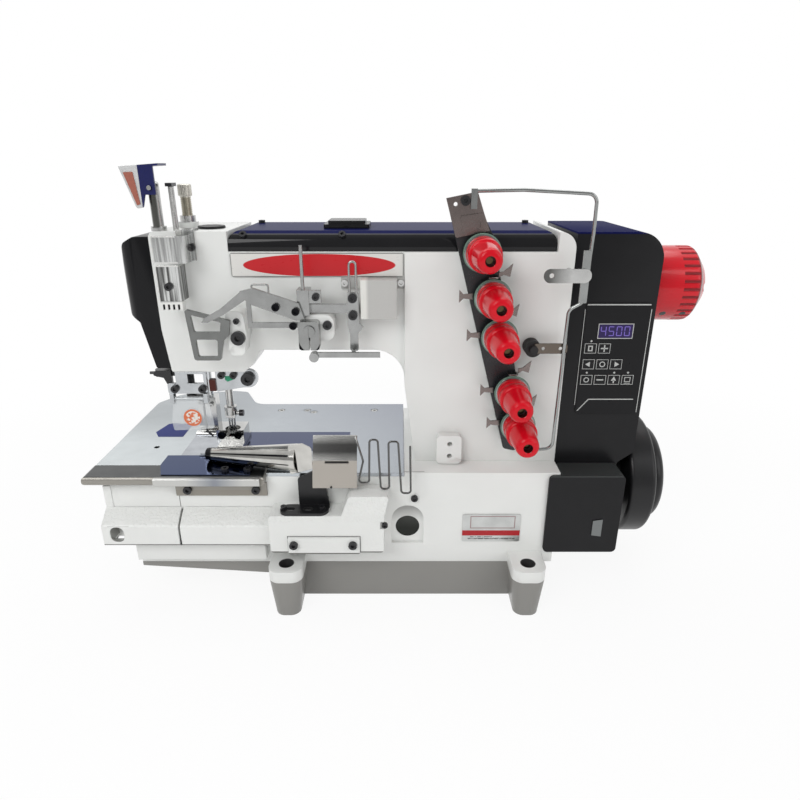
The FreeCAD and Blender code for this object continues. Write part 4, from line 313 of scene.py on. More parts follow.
def hammered_finish(name, slope, shade_line_top):
    """Hammered white enamel, roughest on the upper slope, with painted shade along the gap below
    and inside the finger grip.
    """
    finish = enamel(name, WHITE, 0.32, 1.4 * MM, 0.05 * MM, 0.8 * MM)
    rough_part = 0.22 + 0.78 * finish.axis("Z").between(slope[0] * MM, slope[1] * MM, 3 * MM)
    lumps = finish.noise(2.8 * MM, 1.5).above(0.53, 0.22)
    finish.relief(0.2 * finish.noise(1.4 * MM, 3.0) + lumps * rough_part, 0.3 * MM, 0.8 * MM)
    # painted shade: a dark line along the gap under the cover
    seam = (1 - finish.axis("Z").above(shade_line_top * MM)) * (1 - finish.axis("Y").above(-90 * MM))
    finish.tint = finish.mix(seam, finish.tint, (0.14, 0.14, 0.13))
    # painted shade inside the finger grip
    grip_shade = region(finish, x=(-305, -283), y=(-104.6, -80), z=(79, 98))
    finish.set("Base Color", finish.mix(grip_shade, finish.tint, (0.36, 0.36, 0.34)))
    return finish


def block_finish():
    """Hammered enamel with the thin dark joint round the small plate."""
    finish = hammered_finish("hammered block enamel", (108, 140), 73.4)
    front = (-112.1, -111.9)
    outer = region(finish, x=(-121.3, -47.2), y=front, z=(72, 91.8))
    inner = region(finish, x=(-120.5, -48), y=front, z=(72, 91))
    finish.set("Base Color", finish.mix(outer - inner, finish.tint, (0.10, 0.10, 0.10)))
    return finish


def cover_finish(name, rough, navy_reflection_from):
    """Black cover whose upper faces carry a painted deep navy reflection and are less shiny."""
    finish = plastic(name, (0.008, 0.008, 0.009), rough, 1.2 * MM, 0.006 * MM, 1.2 * MM)
    finish.set("Specular IOR Level", 0.02)
    # painted reflection: the faces above this level are navy
    finish.top = finish.axis("Z").above(navy_reflection_from * MM, 1.0 * MM)
    finish.tint = finish.mix(finish.top, finish.tint, NAVY_REFLECTION)
    finish.set("Base Color", finish.tint)
    finish.set("Roughness", rough + 0.2 * finish.top)
    finish.set("Coat Weight", 0.5 - 0.5 * finish.top)
    return finish


def sight_finish():
    """Dark glass with painted light: a little paler towards its top."""
    finish = clear("dark sight glass shaded", (0.02, 0.02, 0.022), 0.2)
    finish.set("Specular IOR Level", 0.2)
    # painted light on the upper part of the glass
    upper = finish.axis("Z").above(90 * MM, 14 * MM)
    finish.set("Base Color", finish.mix(upper, (0.018, 0.020, 0.017), (0.05, 0.052, 0.048)))
    return finish


def rail_finish():
    """Nose rail: dark ground top, beige nose and a strip let into its front, with a painted
    highlight along part of the strip.
    """
    finish = steel("nose rail steel", (0.115, 0.118, 0.118), 0.34, (14.0, 1.0, 1.0))
    nose = 1 - finish.axis("Z").above(149.3 * MM, 0.5 * MM)
    strip = 1 - finish.axis("Y").above(-97.1 * MM)
    color = finish.mix(nose, finish.tint, (0.31, 0.295, 0.265))
    # painted highlight: the strip is brighter over this stretch
    bright = finish.axis("X").between(-205 * MM, -178 * MM, 30 * MM)
    color = finish.mix(strip, color, finish.mix(bright, (0.60, 0.60, 0.58), (0.26, 0.28, 0.32)))
    clamp = 1 - finish.axis("Z").above(131.6 * MM, 0.3 * MM)
    finish.set("Base Color", finish.mix(clamp, color, (0.29, 0.27, 0.235)))
    finish.set("Metallic", 1 - 0.6 * nose * (1 - strip))
    return finish


def milky_finish():
    """Milky plastic cover with a painted highlight: brighter and less clear down its middle."""
    finish = clear("milky cover", (0.66, 0.66, 0.64), 0.22)
    # painted highlight down the middle
    middle = region(finish, x=(-48, -38), soft=3 * MM)
    finish.set("Base Color", finish.mix(middle, (0.62, 0.62, 0.60), (0.80, 0.80, 0.76)))
    finish.set("Alpha", 0.70 + 0.2 * middle)
    return finish


def shield_finish():
    """Thread shields with bright upright streaks and painted highlights along their edges, over a
    white comb with dark slots.
    """
    finish = steel("thread shield steel", (0.60, 0.61, 0.60), 0.20, (1.0, 1.0, 18.0))
    streak = finish.noise(2.6 * MM, 2.0, (1.0, 1.0, 30.0)).above(0.52, 0.22)
    low = 1 - finish.axis("Z").above(356 * MM)
    dim = finish.mix(low, (0.34, 0.345, 0.34), (0.10, 0.10, 0.098))
    color = finish.mix(streak, dim, (0.66, 0.67, 0.66))
    # painted highlights along the edges
    edge = region(finish, x=(-232, -229.2)) + region(finish, x=(-230, -208), z=(379.8, 386))
    edge = edge + region(finish, x=(-232, -208), z=(353.8, 358.2))
    color = finish.mix(edge, color, (0.74, 0.74, 0.72))
    comb = 1 - finish.axis("Z").above(322.2 * MM)
    slots = region(finish, x=(-227, -210.3), y=(-76.6, -72), z=(313.9, 320.2))
    color = finish.mix(comb, color, (0.74, 0.74, 0.72))
    finish.set("Base Color", finish.mix(slots, color, (0.03, 0.03, 0.03)))
    finish.set("Metallic", 0.85 - 0.85 * comb)
    return finish


def frame_steel(name, color):
    """Steel of the guide frame and the wire frame, its grain upright."""
    return steel(name, color, 0.24, (1.0, 1.0, 10.0), 0.2 * MM)


def panel_finish():
    """Film overlay, its display window a dark violet."""
    black = (0.006, 0.006, 0.007)
    finish = plastic("panel film and window", black, 0.30, 0.4 * MM, 0.003 * MM, 0.3 * MM)
    finish.set("Specular IOR Level", 0.2)
    window = region(finish, x=(184.3, 217.0), z=(283.9, 297.5), y=(-62.5, -61.5))
    finish.set("Base Color", finish.mix(window, finish.tint, (0.030, 0.020, 0.085)))
    return finish


def box_finish():
    """Satin black box with a painted navy reflection on its top and a paler ledge over its foot."""
    finish = cover_finish("satin black box with navy top", 0.34, 381.5)
    ledge = region(finish, y=(-91, -61), z=(146.5, 149), soft=0.5 * MM)
    finish.set("Base Color", finish.mix(ledge, finish.tint, (0.040, 0.043, 0.043)))
    finish.set("Coat Weight", 0.4 - 0.4 * finish.top)
    finish.set("Coat Roughness", 0.28)
    return finish


def wheel_finish():
    """Gloss red wheel with two dark set screws in its smooth band and painted shade in its grooves.
    """
    finish = plastic("gloss red wheel", RED, 0.20, 2.5 * MM, 0.01 * MM, 0.5 * MM, 0.25)
    finish.set("Specular IOR Level", 0.3)
    holes = sum(disc(finish, "X", "Z", (x, 300), (3.2, 2.4)) for x in (258, 278))
    front = 1 - finish.axis("Y").above(-20 * MM)
    finish.tint = finish.mix(holes * front, finish.tint, (0.012, 0.008, 0.008))
    # painted shade at the bottom of the grooves
    groove_shade = disc(finish, "Y", "Z", (0, 326.0), (37.4, 37.4)) * region(finish, x=(270, 292))
    finish.set("Base Color", finish.mix(groove_shade, finish.tint, (0.20, 0.001, 0.005)))
    return finish


def cloth_plate_finish():
    """Satin plate with painted shade, blue-grey where it runs under the arm so that it is brightest
    at the front left, and darker towards the rear left.
    """
    grain = (18.0, 1.0, 1.0)
    finish = steel("satin cloth plate", (0.66, 0.70, 0.71), 0.24, grain, 0.6 * MM, 0.94)
    # painted shade under the arm
    under_arm_shade = (finish.axis("X") + 0.10) * 2.6 + (finish.axis("Y") + 0.02) * 2.2
    finish.tint = finish.mix(under_arm_shade.above(0.0, 1.2), finish.tint, (0.30, 0.32, 0.37))
    depth = finish.axis("Y")
    # darker towards the rear left
    darker_rear_left = depth.above(150 * MM, 90 * MM) + depth.between(20 * MM, 130 * MM, 70 * MM)
    darker_rear_left = darker_rear_left * (1 - finish.axis("X").above(-190 * MM, 60 * MM))
    finish.set("Base Color", finish.mix(darker_rear_left * 0.55, finish.tint, (0.30, 0.32, 0.33)))
    finish.set("Roughness", 0.20 + 0.10 * finish.noise(0.7 * MM, 3.0, grain))
    return finish


def needle_plate_finish():
    """Mirror plates: the front one and the slide carry a painted deep blue reflection."""
    finish = steel("blue mirror plate", (0.50, 0.52, 0.55), 0.08, (8.0, 1.0, 1.0))
    front = region(finish, y=(-94, -50), x=(-256, -158), z=(150.6, 152))
    slide = region(finish, x=(-181, -64), y=(-40, 14), z=(150.3, 152))
    # painted reflection: deep blue on the slide and on the front plate
    color = finish.mix(slide, finish.tint, (0.085, 0.10, 0.17))
    finish.set("Base Color", finish.mix(front, color, (0.055, 0.075, 0.15)))
    return finish


def label_finish():
    """Bright label plates: a plain red ellipse on the arm's and a red band on the bed's."""
    finish = steel("printed label plate", (0.62, 0.63, 0.62), 0.30, (10.0, 1.0, 1.0))
    ellipse = disc(finish, "X", "Z", (-83, 352.6), (71.5, 10.4))
    color = finish.mix(ellipse, finish.tint, (0.56, 0.006, 0.012))
    plate = region(finish, x=(-167, -3), z=(341, 365))
    border = plate - region(finish, x=(-165.2, -4.8), z=(342.6, 363.1))
    plain = (plate - border - ellipse).above(0.5)
    color = finish.mix(plain, color, (0.74, 0.73, 0.70))
    color = finish.mix(border.above(0.5), color, (0.32, 0.32, 0.31))
    band = region(finish, x=(50, 125), z=(76.2, 82.6))
    color = finish.mix(band, color, (0.40, 0.004, 0.010))
    rows = region(finish, x=(64, 114), z=(71.6, 73.4)) + region(finish, x=(66, 90), z=(74.2, 75.2))
    color = finish.mix(rows * finish.noise(1.2 * MM).above(0.42, 0.1), color, (0.16, 0.16, 0.16))
    frame_line = region(finish, x=(66, 113), z=(85, 100)) - region(finish, x=(67, 112), z=(86, 99))
    color = finish.mix(frame_line, color, (0.34, 0.24, 0.24))
    tag = region(finish, x=(191, 205), z=(75, 99))
    finish.set("Base Color", finish.mix(tag, color, (0.20, 0.21, 0.21)))
    finish.set("Metallic", 1 - 0.9 * (ellipse + band + 0.9 * plain))
    return finish


def lifter_finish():
    """Bright lever with its rust-red pad, its inner faces painted navy as a reflection."""
    finish = steel("lifter lever steel", (0.74, 0.75, 0.75), 0.20, (1.0, 1.0, 8.0))
    # painted reflection: the inner faces are navy
    navy = region(finish, x=(-240.5, -190))
    pad = region(finish, y=(-56, -55.06), x=(-258, -239), soft=0.05 * MM)
    finish.tint = finish.mix(navy, finish.tint, (0.008, 0.011, 0.085))
    finish.set("Base Color", finish.mix(pad, finish.tint, (0.36, 0.12, 0.085)))
    finish.set("Metallic", 0.35 - 0.3 * navy - 0.3 * pad)
    return finish


def guard_finish():
    """Clear swing-up guard with a round orange and white sticker."""
    glassy = (0.80, 0.83, 0.84)
    finish = clear("clear guard with sticker", glassy, 0.08)

    def inside(edge):
        return disc(finish, "X", "Z", (-220, 198.5), (10.3, 10.3), edge)

    spot = inside(1.0) * (1 - finish.axis("Y").above(-57.9 * MM))
    ring = inside(0.90) - inside(0.70)
    pattern = finish.noise(2.6 * MM, 1.0).above(0.52, 0.1) * inside(0.72)
    color = finish.mix(ring + pattern, (0.80, 0.76, 0.70), (0.68, 0.16, 0.06))
    finish.set("Base Color", finish.mix(spot, glassy, color))
    finish.set("Alpha", 0.30 + 0.70 * spot)
    return finish


def screw_cap_finish():
    """Dark threaded rod with a straw-coloured knurled cap."""
    finish = steel("pressure screw steel", (0.42, 0.39, 0.31), 0.30)
    cap = region(finish, z=(411, 425))
    finish.set("Base Color", finish.mix(cap, finish.tint, (0.64, 0.62, 0.56)))
    return finish


def take_up_finish():
    """Polished take-up lever; its screws are black."""
    finish = steel("take-up steel", (0.36, 0.365, 0.36), 0.22, (8.0, 1.0, 1.0))
    screws = 1 - finish.axis("Y").above(-83.3 * MM)
    off_shaft = 1 - disc(finish, "X", "Z", (-91, 297.4), (11.5, 20))
    finish.set("Base Color", finish.mix(screws * off_shaft, finish.tint, SCREW_BLACK))
    return finish


def foot_finish():
    """Polished presser foot; its clamp screws are black."""
    finish = steel("presser foot steel", (0.60, 0.60, 0.59), 0.16, (1.0, 1.0, 6.0))
    screws = (1 - finish.axis("Y").above(-28.1 * MM)) * region(finish, x=(-207, -178), z=(160, 172))
    finish.set("Base Color", finish.mix(screws, finish.tint, SCREW_BLACK))
    return finish


def scroll_finish():
    """Bright folded binder scroll with painted shade: dark lines along its folds and a darker lower
    side of its cone, to a dark tip.
    """
    finish = steel("binder scroll steel", (0.62, 0.61, 0.58), 0.14, (14.0, 1.0, 1.0))
    along = (finish.axis("X") + 0.109) / -0.099
    level = (finish.axis("Z") - 0.1656 + 0.007 * along) / (0.0146 - 0.0081 * along)
    on_cone = region(finish, x=(-208.5, -118), soft=2 * MM)
    # painted shade along the folds
    for turn, half in ((0.55, 0.07), (-0.10, 0.05), (-0.62, 0.07)):
        fold_shade = level.between(turn - half, turn + half, 0.03)
        finish.tint = finish.mix(fold_shade * on_cone, finish.tint, (0.02, 0.02, 0.022))
    # painted shade on the lower side of the cone
    shade = level.between(-1.2, -0.35, 0.5)
    finish.tint = finish.mix(shade * on_cone * 0.6, finish.tint, (0.10, 0.10, 0.10))
    tip = 1 - finish.axis("X").above(-203 * MM, 2 * MM)
    finish.set("Base Color", finish.mix(tip, finish.tint, (0.03, 0.03, 0.033)))
    return finish


def bracket_finish():
    """Bright head brackets beside the brown finger block."""
    finish = steel("head bracket steel", (0.56, 0.58, 0.60), 0.22, (10.0, 1.0, 1.0))
    block = region(finish, x=(-200.6, -193.9), z=(225.9, 238.1))
    finish.set("Base Color", finish.mix(block, finish.tint, (0.085, 0.032, 0.028)))
    return finish


def fittings_finish():
    """Lifter posts: the first is dark, the small cap of the second nearly black."""
    finish = steel("lifter post steel", (0.60, 0.60, 0.59), 0.22, (1.0, 1.0, 12.0))
    post = region(finish, x=(-235.4, -228.8), y=(-56, -40), z=(386, 427), soft=1.5 * MM)
    finish.tint = finish.mix(post, finish.tint, (0.13, 0.13, 0.12))
    cap = region(finish, x=(-219.5, -212.5), y=(-56, -38), z=(421.6, 426))
    finish.set("Base Color", finish.mix(cap, finish.tint, (0.05, 0.05, 0.055)))
    return finish


def needle_bar_finish():
    """Ground needle bar with a black clamp screw."""
    finish = steel("needle bar steel", (0.62, 0.62, 0.61), 0.20, (1.0, 1.0, 12.0))
    knob = region(finish, x=(-182.4, -177), z=(184.5, 193.5))
    finish.set("Base Color", finish.mix(knob, finish.tint, SCREW_BLACK))
    finish.set("Metallic", 1 - 0.9 * knob)
    return finish


def tape_guide_finish():
    """Bent guide sheet: mirror-bright with a painted dark reflection in a band above, beige below;
    dark wire beside it.
    """
    finish = steel("tape guide steel", (0.60, 0.60, 0.58), 0.20, (1.0, 1.0, 6.0))
    height = finish.axis("Z")
    # painted reflection: a dark band across the mirror-bright upper part
    band = height.between(171 * MM, 186 * MM, 9 * MM)
    color = finish.mix(band, finish.tint, (0.09, 0.09, 0.088))
    lower = 1 - height.above(168 * MM, 1 * MM)
    color = finish.mix(lower, color, (0.50, 0.465, 0.42))
    wire = finish.axis("X").above(-50 * MM)
    finish.set("Base Color", finish.mix(wire, color, (0.13, 0.13, 0.128)))
    finish.set("Metallic", 1 - 0.75 * lower * (1 - wire))
    return finish


def column_guide_finish():
    """Guides on the column: the upper fades from dark to bright, the lower is brown."""
    finish = steel("column guide steel", (0.60, 0.60, 0.59), 0.24, (10.0, 1.0, 1.0))
    fade = 1 - finish.axis("X").above(136 * MM, 20 * MM)
    color = finish.mix(fade, finish.tint, (0.13, 0.13, 0.125))
    lower = region(finish, x=(110, 156), z=(262, 292))
    finish.set("Base Color", finish.mix(lower, color, (0.15, 0.125, 0.105)))
    return finish


def disc_finish():
    """Tension discs, their threaded posts dark brass."""
    finish = steel("tension disc steel", (0.62, 0.63, 0.62), 0.16)
    post = 1 - finish.axis("Y").above(-84 * MM)
    finish.set("Base Color", finish.mix(post, finish.tint, (0.10, 0.065, 0.035)))
    return finish


# the finishes made for one node
own_finish = {
    "front_block": block_finish(),
    "cloth_plate": cloth_plate_finish(),
    "top_fittings": fittings_finish(),
    "needle_bar": needle_bar_finish(),
    "tape_guide": tape_guide_finish(),
    "tension_discs": disc_finish(),
    "arm_guides": steel("arm guide steel", (0.42, 0.425, 0.42), 0.24, (1.0, 1.0, 8.0)),
    "column_guides": column_guide_finish(),
    "thread_hooks": steel("thread hook steel", (0.24, 0.20, 0.19), 0.26),
    "needle_plate": needle_plate_finish(),
    "label_plates": label_finish(),
    "lifter_lever": lifter_finish(),
    "finger_guard": guard_finish(),
    "pressure_screw": screw_cap_finish(),
    "takeup_lever": take_up_finish(),
    "presser_foot": foot_finish(),
    "binder_scroll": scroll_finish(),
    "head_brackets": bracket_finish(),
    "spreader": finishes["black_oxide"],
    "top_cover": cover_finish("gloss black cover with navy top", 0.16, 380.6),
    "oil_window": cover_finish("matt black window frame", 0.40, 400),
    "sight_glass": sight_finish(),
    "nose_rail": rail_finish(),
    "clear_cover": milky_finish(),
    "thread_shield": shield_finish(),
    "guide_frame": frame_steel("dark guide frame steel", (0.22, 0.225, 0.22)),
    "wire_frame": frame_steel("bright wire frame steel", (0.36, 0.37, 0.365)),
    "control_panel": panel_finish(),
    "handwheel": wheel_finish(),
}
for name, node in nodes.items():
    finish = own_finish[name] if name in own_finish else finishes[slot_of[name]]
    node.data.materials.clear()
    node.data.materials.append(finish.material)


# ---------------------------------------------------------------- rounded edges
def only(piece):
    bpy.ops.object.select_all(action="DESELECT")
    piece.select_set(True)
    bpy.context.view_layer.objects.active = piece


def apply(piece, kind, **settings):
    step = piece.modifiers.new("step", kind)
    for setting, value in settings.items():
        setattr(step, setting, value)
    bpy.ops.object.modifier_apply(modifier=step.name)


SHARP_ANGLE = math.radians(32)


def round_edges(node, width, finish, shortest=1.5):
    """A copy of a node with its longer outer edges rounded, in place of the plain one."""
    piece = bpy.data.objects.new(node + "_rounded", nodes[node].data.copy())
    bpy.context.scene.collection.objects.link(piece)
    only(piece)
    bpy.ops.mesh.customdata_custom_splitnormals_clear()
    bpy.ops.object.mode_set(mode="EDIT")
    bpy.ops.mesh.select_all(action="SELECT")
    bpy.ops.mesh.remove_doubles(threshold=0.005 * MM)
    bpy.ops.mesh.dissolve_limited(angle_limit=math.radians(1.0))
    bpy.ops.object.mode_set(mode="OBJECT")
    shape = bmesh.new()
    shape.from_mesh(piece.data)
    weight = shape.edges.layers.float.new("bevel_weight_edge")
    for edge in shape.edges:
        if len(edge.link_faces) == 2 and edge.is_convex and edge.calc_length() > shortest * MM:
            if edge.calc_face_angle() > SHARP_ANGLE:
                edge[weight] = 1.0
    shape.to_mesh(piece.data)
    shape.free()
    apply(piece, "BEVEL", width=width * MM, segments=3, limit_method="WEIGHT",
          use_clamp_overlap=True)
    bpy.ops.object.shade_smooth_by_angle(angle=SMOOTH_ANGLE)
    piece.data.materials.clear()
    piece.data.materials.append(finish.material)
    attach(piece, body_of[node])
    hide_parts(node)


hammered = hammered_finish("hammered white enamel", (97, 112), 77.2)
round_edges("arm_casting", 2.5, finishes["white_paint"])
round_edges("bed_casting", 2.0, bed_finish())
round_edges("looper_cover", 1.6, hammered)
round_edges("side_cover", 1.8, hammered)
round_edges("oil_pan", 2.5, finishes["grey_paint"])
round_edges("control_box", 3.0, box_finish())
round_edges("face_cover", 2.5, finishes["black_gloss"])
round_edges("arm_bosses", 1.0, finishes["white_paint"], 1.0)


# ---------------------------------------------------------------- control panel marks
PANEL_Y = -61.25
KEY_Y = -61.95
MARK_T = 0.12


def mark_bar(x0, x1, z0, z1, y=PANEL_Y, lean=0.0):
    """A thin raised bar on the panel, its top moved sideways by lean."""
    middle = (z0 + z1) / 2 * MM
    bpy.ops.mesh.primitive_cube_add(size=1.0, location=((x0 + x1) / 2 * MM, y * MM, middle))
    bar = bpy.context.object
    bar.scale = ((x1 - x0) * MM, MARK_T * MM, (z1 - z0) * MM)
    bpy.ops.object.transform_apply(location=True, rotation=False, scale=True)
    if lean:
        for corner in bar.data.vertices:
            if corner.co.z > middle:
                corner.co.x += lean * MM
    return bar


def key_bar(x0, x1, z0, z1):
    return mark_bar(x0, x1, z0, z1, KEY_Y)


def key_frame(x0, x1, z0, z1, line):
    """A thin rectangular outline on a key or round the display."""
    return [
        key_bar(x0, x1, z1 - line, z1),
        key_bar(x0, x1, z0, z0 + line),
        key_bar(x0, x0 + line, z0 + line, z1 - line),
        key_bar(x1 - line, x1, z0 + line, z1 - line),
    ]


def round_blank(x, y, z, radius, depth, vertices, turn=0.0):
    """A short cylinder along Y, turned about its axis by degrees."""
    bpy.ops.mesh.primitive_cylinder_add(
        vertices=vertices, radius=radius * MM, depth=depth * MM, location=(x * MM, y * MM, z * MM),
        rotation=(math.radians(90), math.radians(turn), 0))
    bpy.ops.object.transform_apply(location=True, rotation=True, scale=True)
    return bpy.context.object


def key_arrow(x, z, turn):
    """A solid triangle on a key that points the way it is turned."""
    return round_blank(x, KEY_Y, z, 3.0, MARK_T, 3, turn)


def mark_ring(x, z, outer, inner, y, depth=MARK_T, vertices=24):
    """A flat ring, or a dot where it has no hole."""
    ring = round_blank(x, y, z, outer, depth, vertices)
    if inner:
        for face in ring.data.polygons:
            face.select = abs(face.normal.y) > 0.9
        bpy.ops.object.mode_set(mode="EDIT")
        bpy.ops.mesh.inset(thickness=(outer - inner) * MM, depth=0)
        bpy.ops.mesh.bridge_edge_loops()
        bpy.ops.object.mode_set(mode="OBJECT")
    return ring


def joined(name, parts, finish, body):
    """Joins marks or small parts into one piece that rides on a body."""
    bpy.ops.object.select_all(action="DESELECT")
    for part in parts:
        part.select_set(True)
    bpy.context.view_layer.objects.active = parts[0]
    if len(parts) > 1:
        bpy.ops.object.join()
    piece = parts[0]
    piece.name = name
    piece.data.materials.clear()
    piece.data.materials.append(finish.material)
    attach(piece, body)
    return piece


SEGMENTS = {
    "top": "02356789", "middle": "2345689", "foot": "0235689", "high_left": "045689",
    "high_right": "01234789", "low_left": "0268", "low_right": "013456789",
}
STROKE = 0.75


def digit(figure, x, z, width, height):
    """One figure of a seven-segment display."""
    half = height / 2
    levels = {"top": height - STROKE, "middle": half - STROKE / 2, "foot": 0.0}
    parts = []
    for name, figures in SEGMENTS.items():
        if figure not in figures:
            continue
        if name in levels:
            low = z + levels[name]
            parts.append(key_bar(x + 0.5, x + width - 0.5, low, low + STROKE))
        else:
            low = z + (half if "high" in name else 0.0)
            side = x + (0.0 if "left" in name else width - STROKE)
            parts.append(key_bar(side, side + STROKE, low + 0.4, low + half - 0.4))
    return parts


ink = plastic("panel ink", (0.42, 0.43, 0.42), 0.5, 0.4 * MM, 0.002 * MM, 0.05 * MM)
violet = Finish("lit display figures", (0.10, 0.07, 0.26), 0.4,
                Emission_Color=(0.20, 0.14, 0.60, 1.0), Emission_Strength=0.45)
# outline of the panel and of the display window
marks = [
    mark_bar(171.0, 231.5, 315.8, 317.0),
    mark_bar(232.2, 232.9, 206.0, 312.0),
    mark_bar(169.0, 169.5, 214.0, 312.0),
    mark_bar(182.6, 227.6, 219.5, 220.5),
    mark_bar(171.8, 173.0, 207.5, 220.3, lean=10.4),
]
marks += key_frame(183.6, 217.7, 283.2, 298.2, 0.7)
# three rows of keys: left end, top and number of keys
KEY_ROWS = ((172.5, 278.4, 2), (172.3, 262.2, 3), (172.0, 246.0, 4))
KEY_PITCH = 13.6
KEY_W = 11.6
KEY_H = 10.0
for left, top, count in KEY_ROWS:
    for i in range(count):
        x = left + KEY_PITCH * i
        marks += key_frame(x, x + KEY_W, top - KEY_H, top, 0.45)
top_row, middle_row, low_row = (top - KEY_H / 2 for left, top, count in KEY_ROWS)
# the symbols on the keys
marks += key_frame(176.0, 180.5, top_row - 2.8, top_row + 2.8, 1.1)
marks += [
    key_bar(188.4, 195.4, top_row - 0.6, top_row + 0.6),
    key_bar(191.3, 192.5, top_row - 3.4, top_row + 3.4),
    key_arrow(178.0, middle_row, -90),
    key_arrow(205.4, middle_row, 90),
    mark_ring(191.8, middle_row, 2.9, 2.0, KEY_Y),
    mark_ring(177.8, low_row, 2.7, 1.9, KEY_Y),
    key_bar(188.0, 194.8, low_row - 0.6, low_row + 0.6),
    key_arrow(205.0, low_row + 0.6, 0),
    key_bar(204.4, 205.6, low_row - 3.6, low_row),
]
marks += key_frame(215.6, 221.6, low_row - 2.2, low_row + 2.8, 0.6)
marks += [key_bar(215.6, 221.6, low_row - 3.8, low_row - 3.2)]
# the small lamps over four keys
LAMPS = ((178.7, 280.6), (177.8, 248.3), (205.0, 248.3), (218.7, 248.3))
marks += [mark_ring(x, z, 1.0, 0, PANEL_Y) for x, z in LAMPS]
joined("panel_marks", marks, ink, "frame")

figures = []
for i, figure in enumerate("4500"):
    figures += digit(figure, 186.2 + 7.6 * i, 286.0, 5.4, 9.4)
joined("display_figures", figures, violet, "frame")


# ---------------------------------------------------------------- flat pieces
def flat_piece(name, corners, axis, level, thick, finish):
    """A thin piece: its outline across an axis, at a level, and its thickness along the axis."""
    bpy.ops.mesh.primitive_circle_add(vertices=len(corners), radius=1.0, fill_type="NGON")
    piece = bpy.context.object
    others = [i for i in range(3) if i != axis]
    for corner, place in zip(piece.data.vertices, corners):
        corner.co[axis] = level * MM
        for i, value in zip(others, place):
            corner.co[i] = value * MM
    only(piece)
    push = [0.0, 0.0, 0.0]
    push[axis] = thick * MM
    bpy.ops.object.mode_set(mode="EDIT")
    bpy.ops.mesh.select_all(action="SELECT")
    bpy.ops.mesh.extrude_region_move(TRANSFORM_OT_translate={"value": push})
    bpy.ops.mesh.select_all(action="SELECT")
    bpy.ops.mesh.normals_make_consistent(inside=False)
    bpy.ops.object.mode_set(mode="OBJECT")
    joined(name, [piece], finish, "frame")


green = plastic("green sticker print", (0.01, 0.24, 0.12), 0.35, 0.6 * MM, 0.004 * MM, 0.05 * MM)
corners = ((-184.5, 241.5), (-184.5, 237.5), (-182, 235.5), (-174, 238.5), (-174.2, 241.8))
flat_piece("green_sticker", corners, 1, -52.0, -0.15, green)
blue = (0.015, 0.026, 0.15)
film = plastic("navy protective film", blue, 0.35, 1.2 * MM, 0.004 * MM, 0.05 * MM)
film.set("Specular IOR Level", 0.1)
corners = ((-291.6, 12.2), (-285.0, 36.0), (-279.0, 38.5), (-256.0, 34.7), (-256.0, -0.1),
           (-284.4, -0.1))
flat_piece("plate_film", corners, 2, 150.0, 0.2, film)
# a black sheet behind the guide's slot: painted shade seen through it
slot_shade_sheet = plastic("slot lining", (0.006, 0.006, 0.006), 0.7)
corners = ((-94.65, 163.5), (-92.25, 169.0), (-91.8, 168.8), (-94.2, 163.3))
flat_piece("guide_slot_shade_sheet", corners, 0, -83.5, 27.0, slot_shade_sheet)


# ---------------------------------------------------------------- tension washers
def washers(name, outer, inner, y, thick, finish):
    """A round washer or felt behind each tension knob."""
    parts = []
    for x, z in KNOB_AXES:
        ring = mark_ring(x, z, outer, inner, y, thick, 48)
        only(ring)
        apply(ring, "BEVEL", width=0.25 * MM, segments=2, limit_method="ANGLE",
              angle_limit=math.radians(50))
        bpy.ops.object.shade_smooth_by_angle(angle=SMOOTH_ANGLE)
        parts.append(ring)
    joined(name, parts, finish, "frame")


washer_steel = steel("washer steel", (0.34, 0.35, 0.34), 0.16)
felt = plastic("green felt", (0.13, 0.22, 0.17), 0.8, 0.5 * MM, 0.05 * MM)
washers("tension_washers", 16.4, 10.5, -81.55, 1.1, washer_steel)
washers("tension_felts", 17.3, 12.6, -80.2, 1.4, felt)


# ---------------------------------------------------------------- tension knobs
# the knob's section: distance from its back, radius
KNOB_BORE = 3.2
KNOB_PROFILE = (
    (0.0, KNOB_BORE), (0.0, 14.5), (0.8, 15.3), (8.0, 15.3), (8.8, 14.6), (8.8, 14.0),
    (10.4, 14.0), (10.4, 14.8), (11.0, 15.2), (19.0, 14.9), (20.0, 14.2), (20.4, 13.2),
    (32.0, 12.1), (44.0, 11.0), (46.5, 10.6), (48.3, 9.8), (49.4, 8.7), (49.98, 7.3),
    (49.98, 5.0), (49.4, 4.3), (42.6, 4.3), (42.4, KNOB_BORE),
)
KNOB_SIDES = 64


def stepped_knob(node, x, z):
    """A tension knob: two collars, a tapered body and a round nose, open over its post."""
    back = max(corner.co.y for corner in nodes[node].data.vertices)
    rows = len(KNOB_PROFILE)
    corners = []
    faces = []
    for side in range(KNOB_SIDES):
        angle = 2 * math.pi * side / KNOB_SIDES
        here = side * rows
        after = (side + 1) % KNOB_SIDES * rows
        for row, (depth, radius) in enumerate(KNOB_PROFILE):
            across = (x + radius * math.cos(angle)) * MM
            level = (z + radius * math.sin(angle)) * MM
            corners.append((across, back - depth * MM, level))
            beyond = (row + 1) % rows
            faces.append((here + row, after + row, after + beyond, here + beyond))
    mesh = bpy.data.meshes.new(node)
    mesh.from_pydata(corners, [], faces)
    knob = bpy.data.objects.new(node + "_stepped", mesh)
    bpy.context.scene.collection.objects.link(knob)
    only(knob)
    bpy.ops.object.mode_set(mode="EDIT")
    bpy.ops.mesh.select_all(action="SELECT")
    bpy.ops.mesh.normals_make_consistent(inside=False)
    bpy.ops.object.mode_set(mode="OBJECT")
    bpy.ops.object.shade_smooth_by_angle(angle=SMOOTH_ANGLE)
    joined(knob.name, [knob], finishes["red_plastic"], body_of[node])
    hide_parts(node)


for number, (x, z) in enumerate(KNOB_AXES):
    stepped_knob("tension_knob_%d" % (number + 1), x, z)


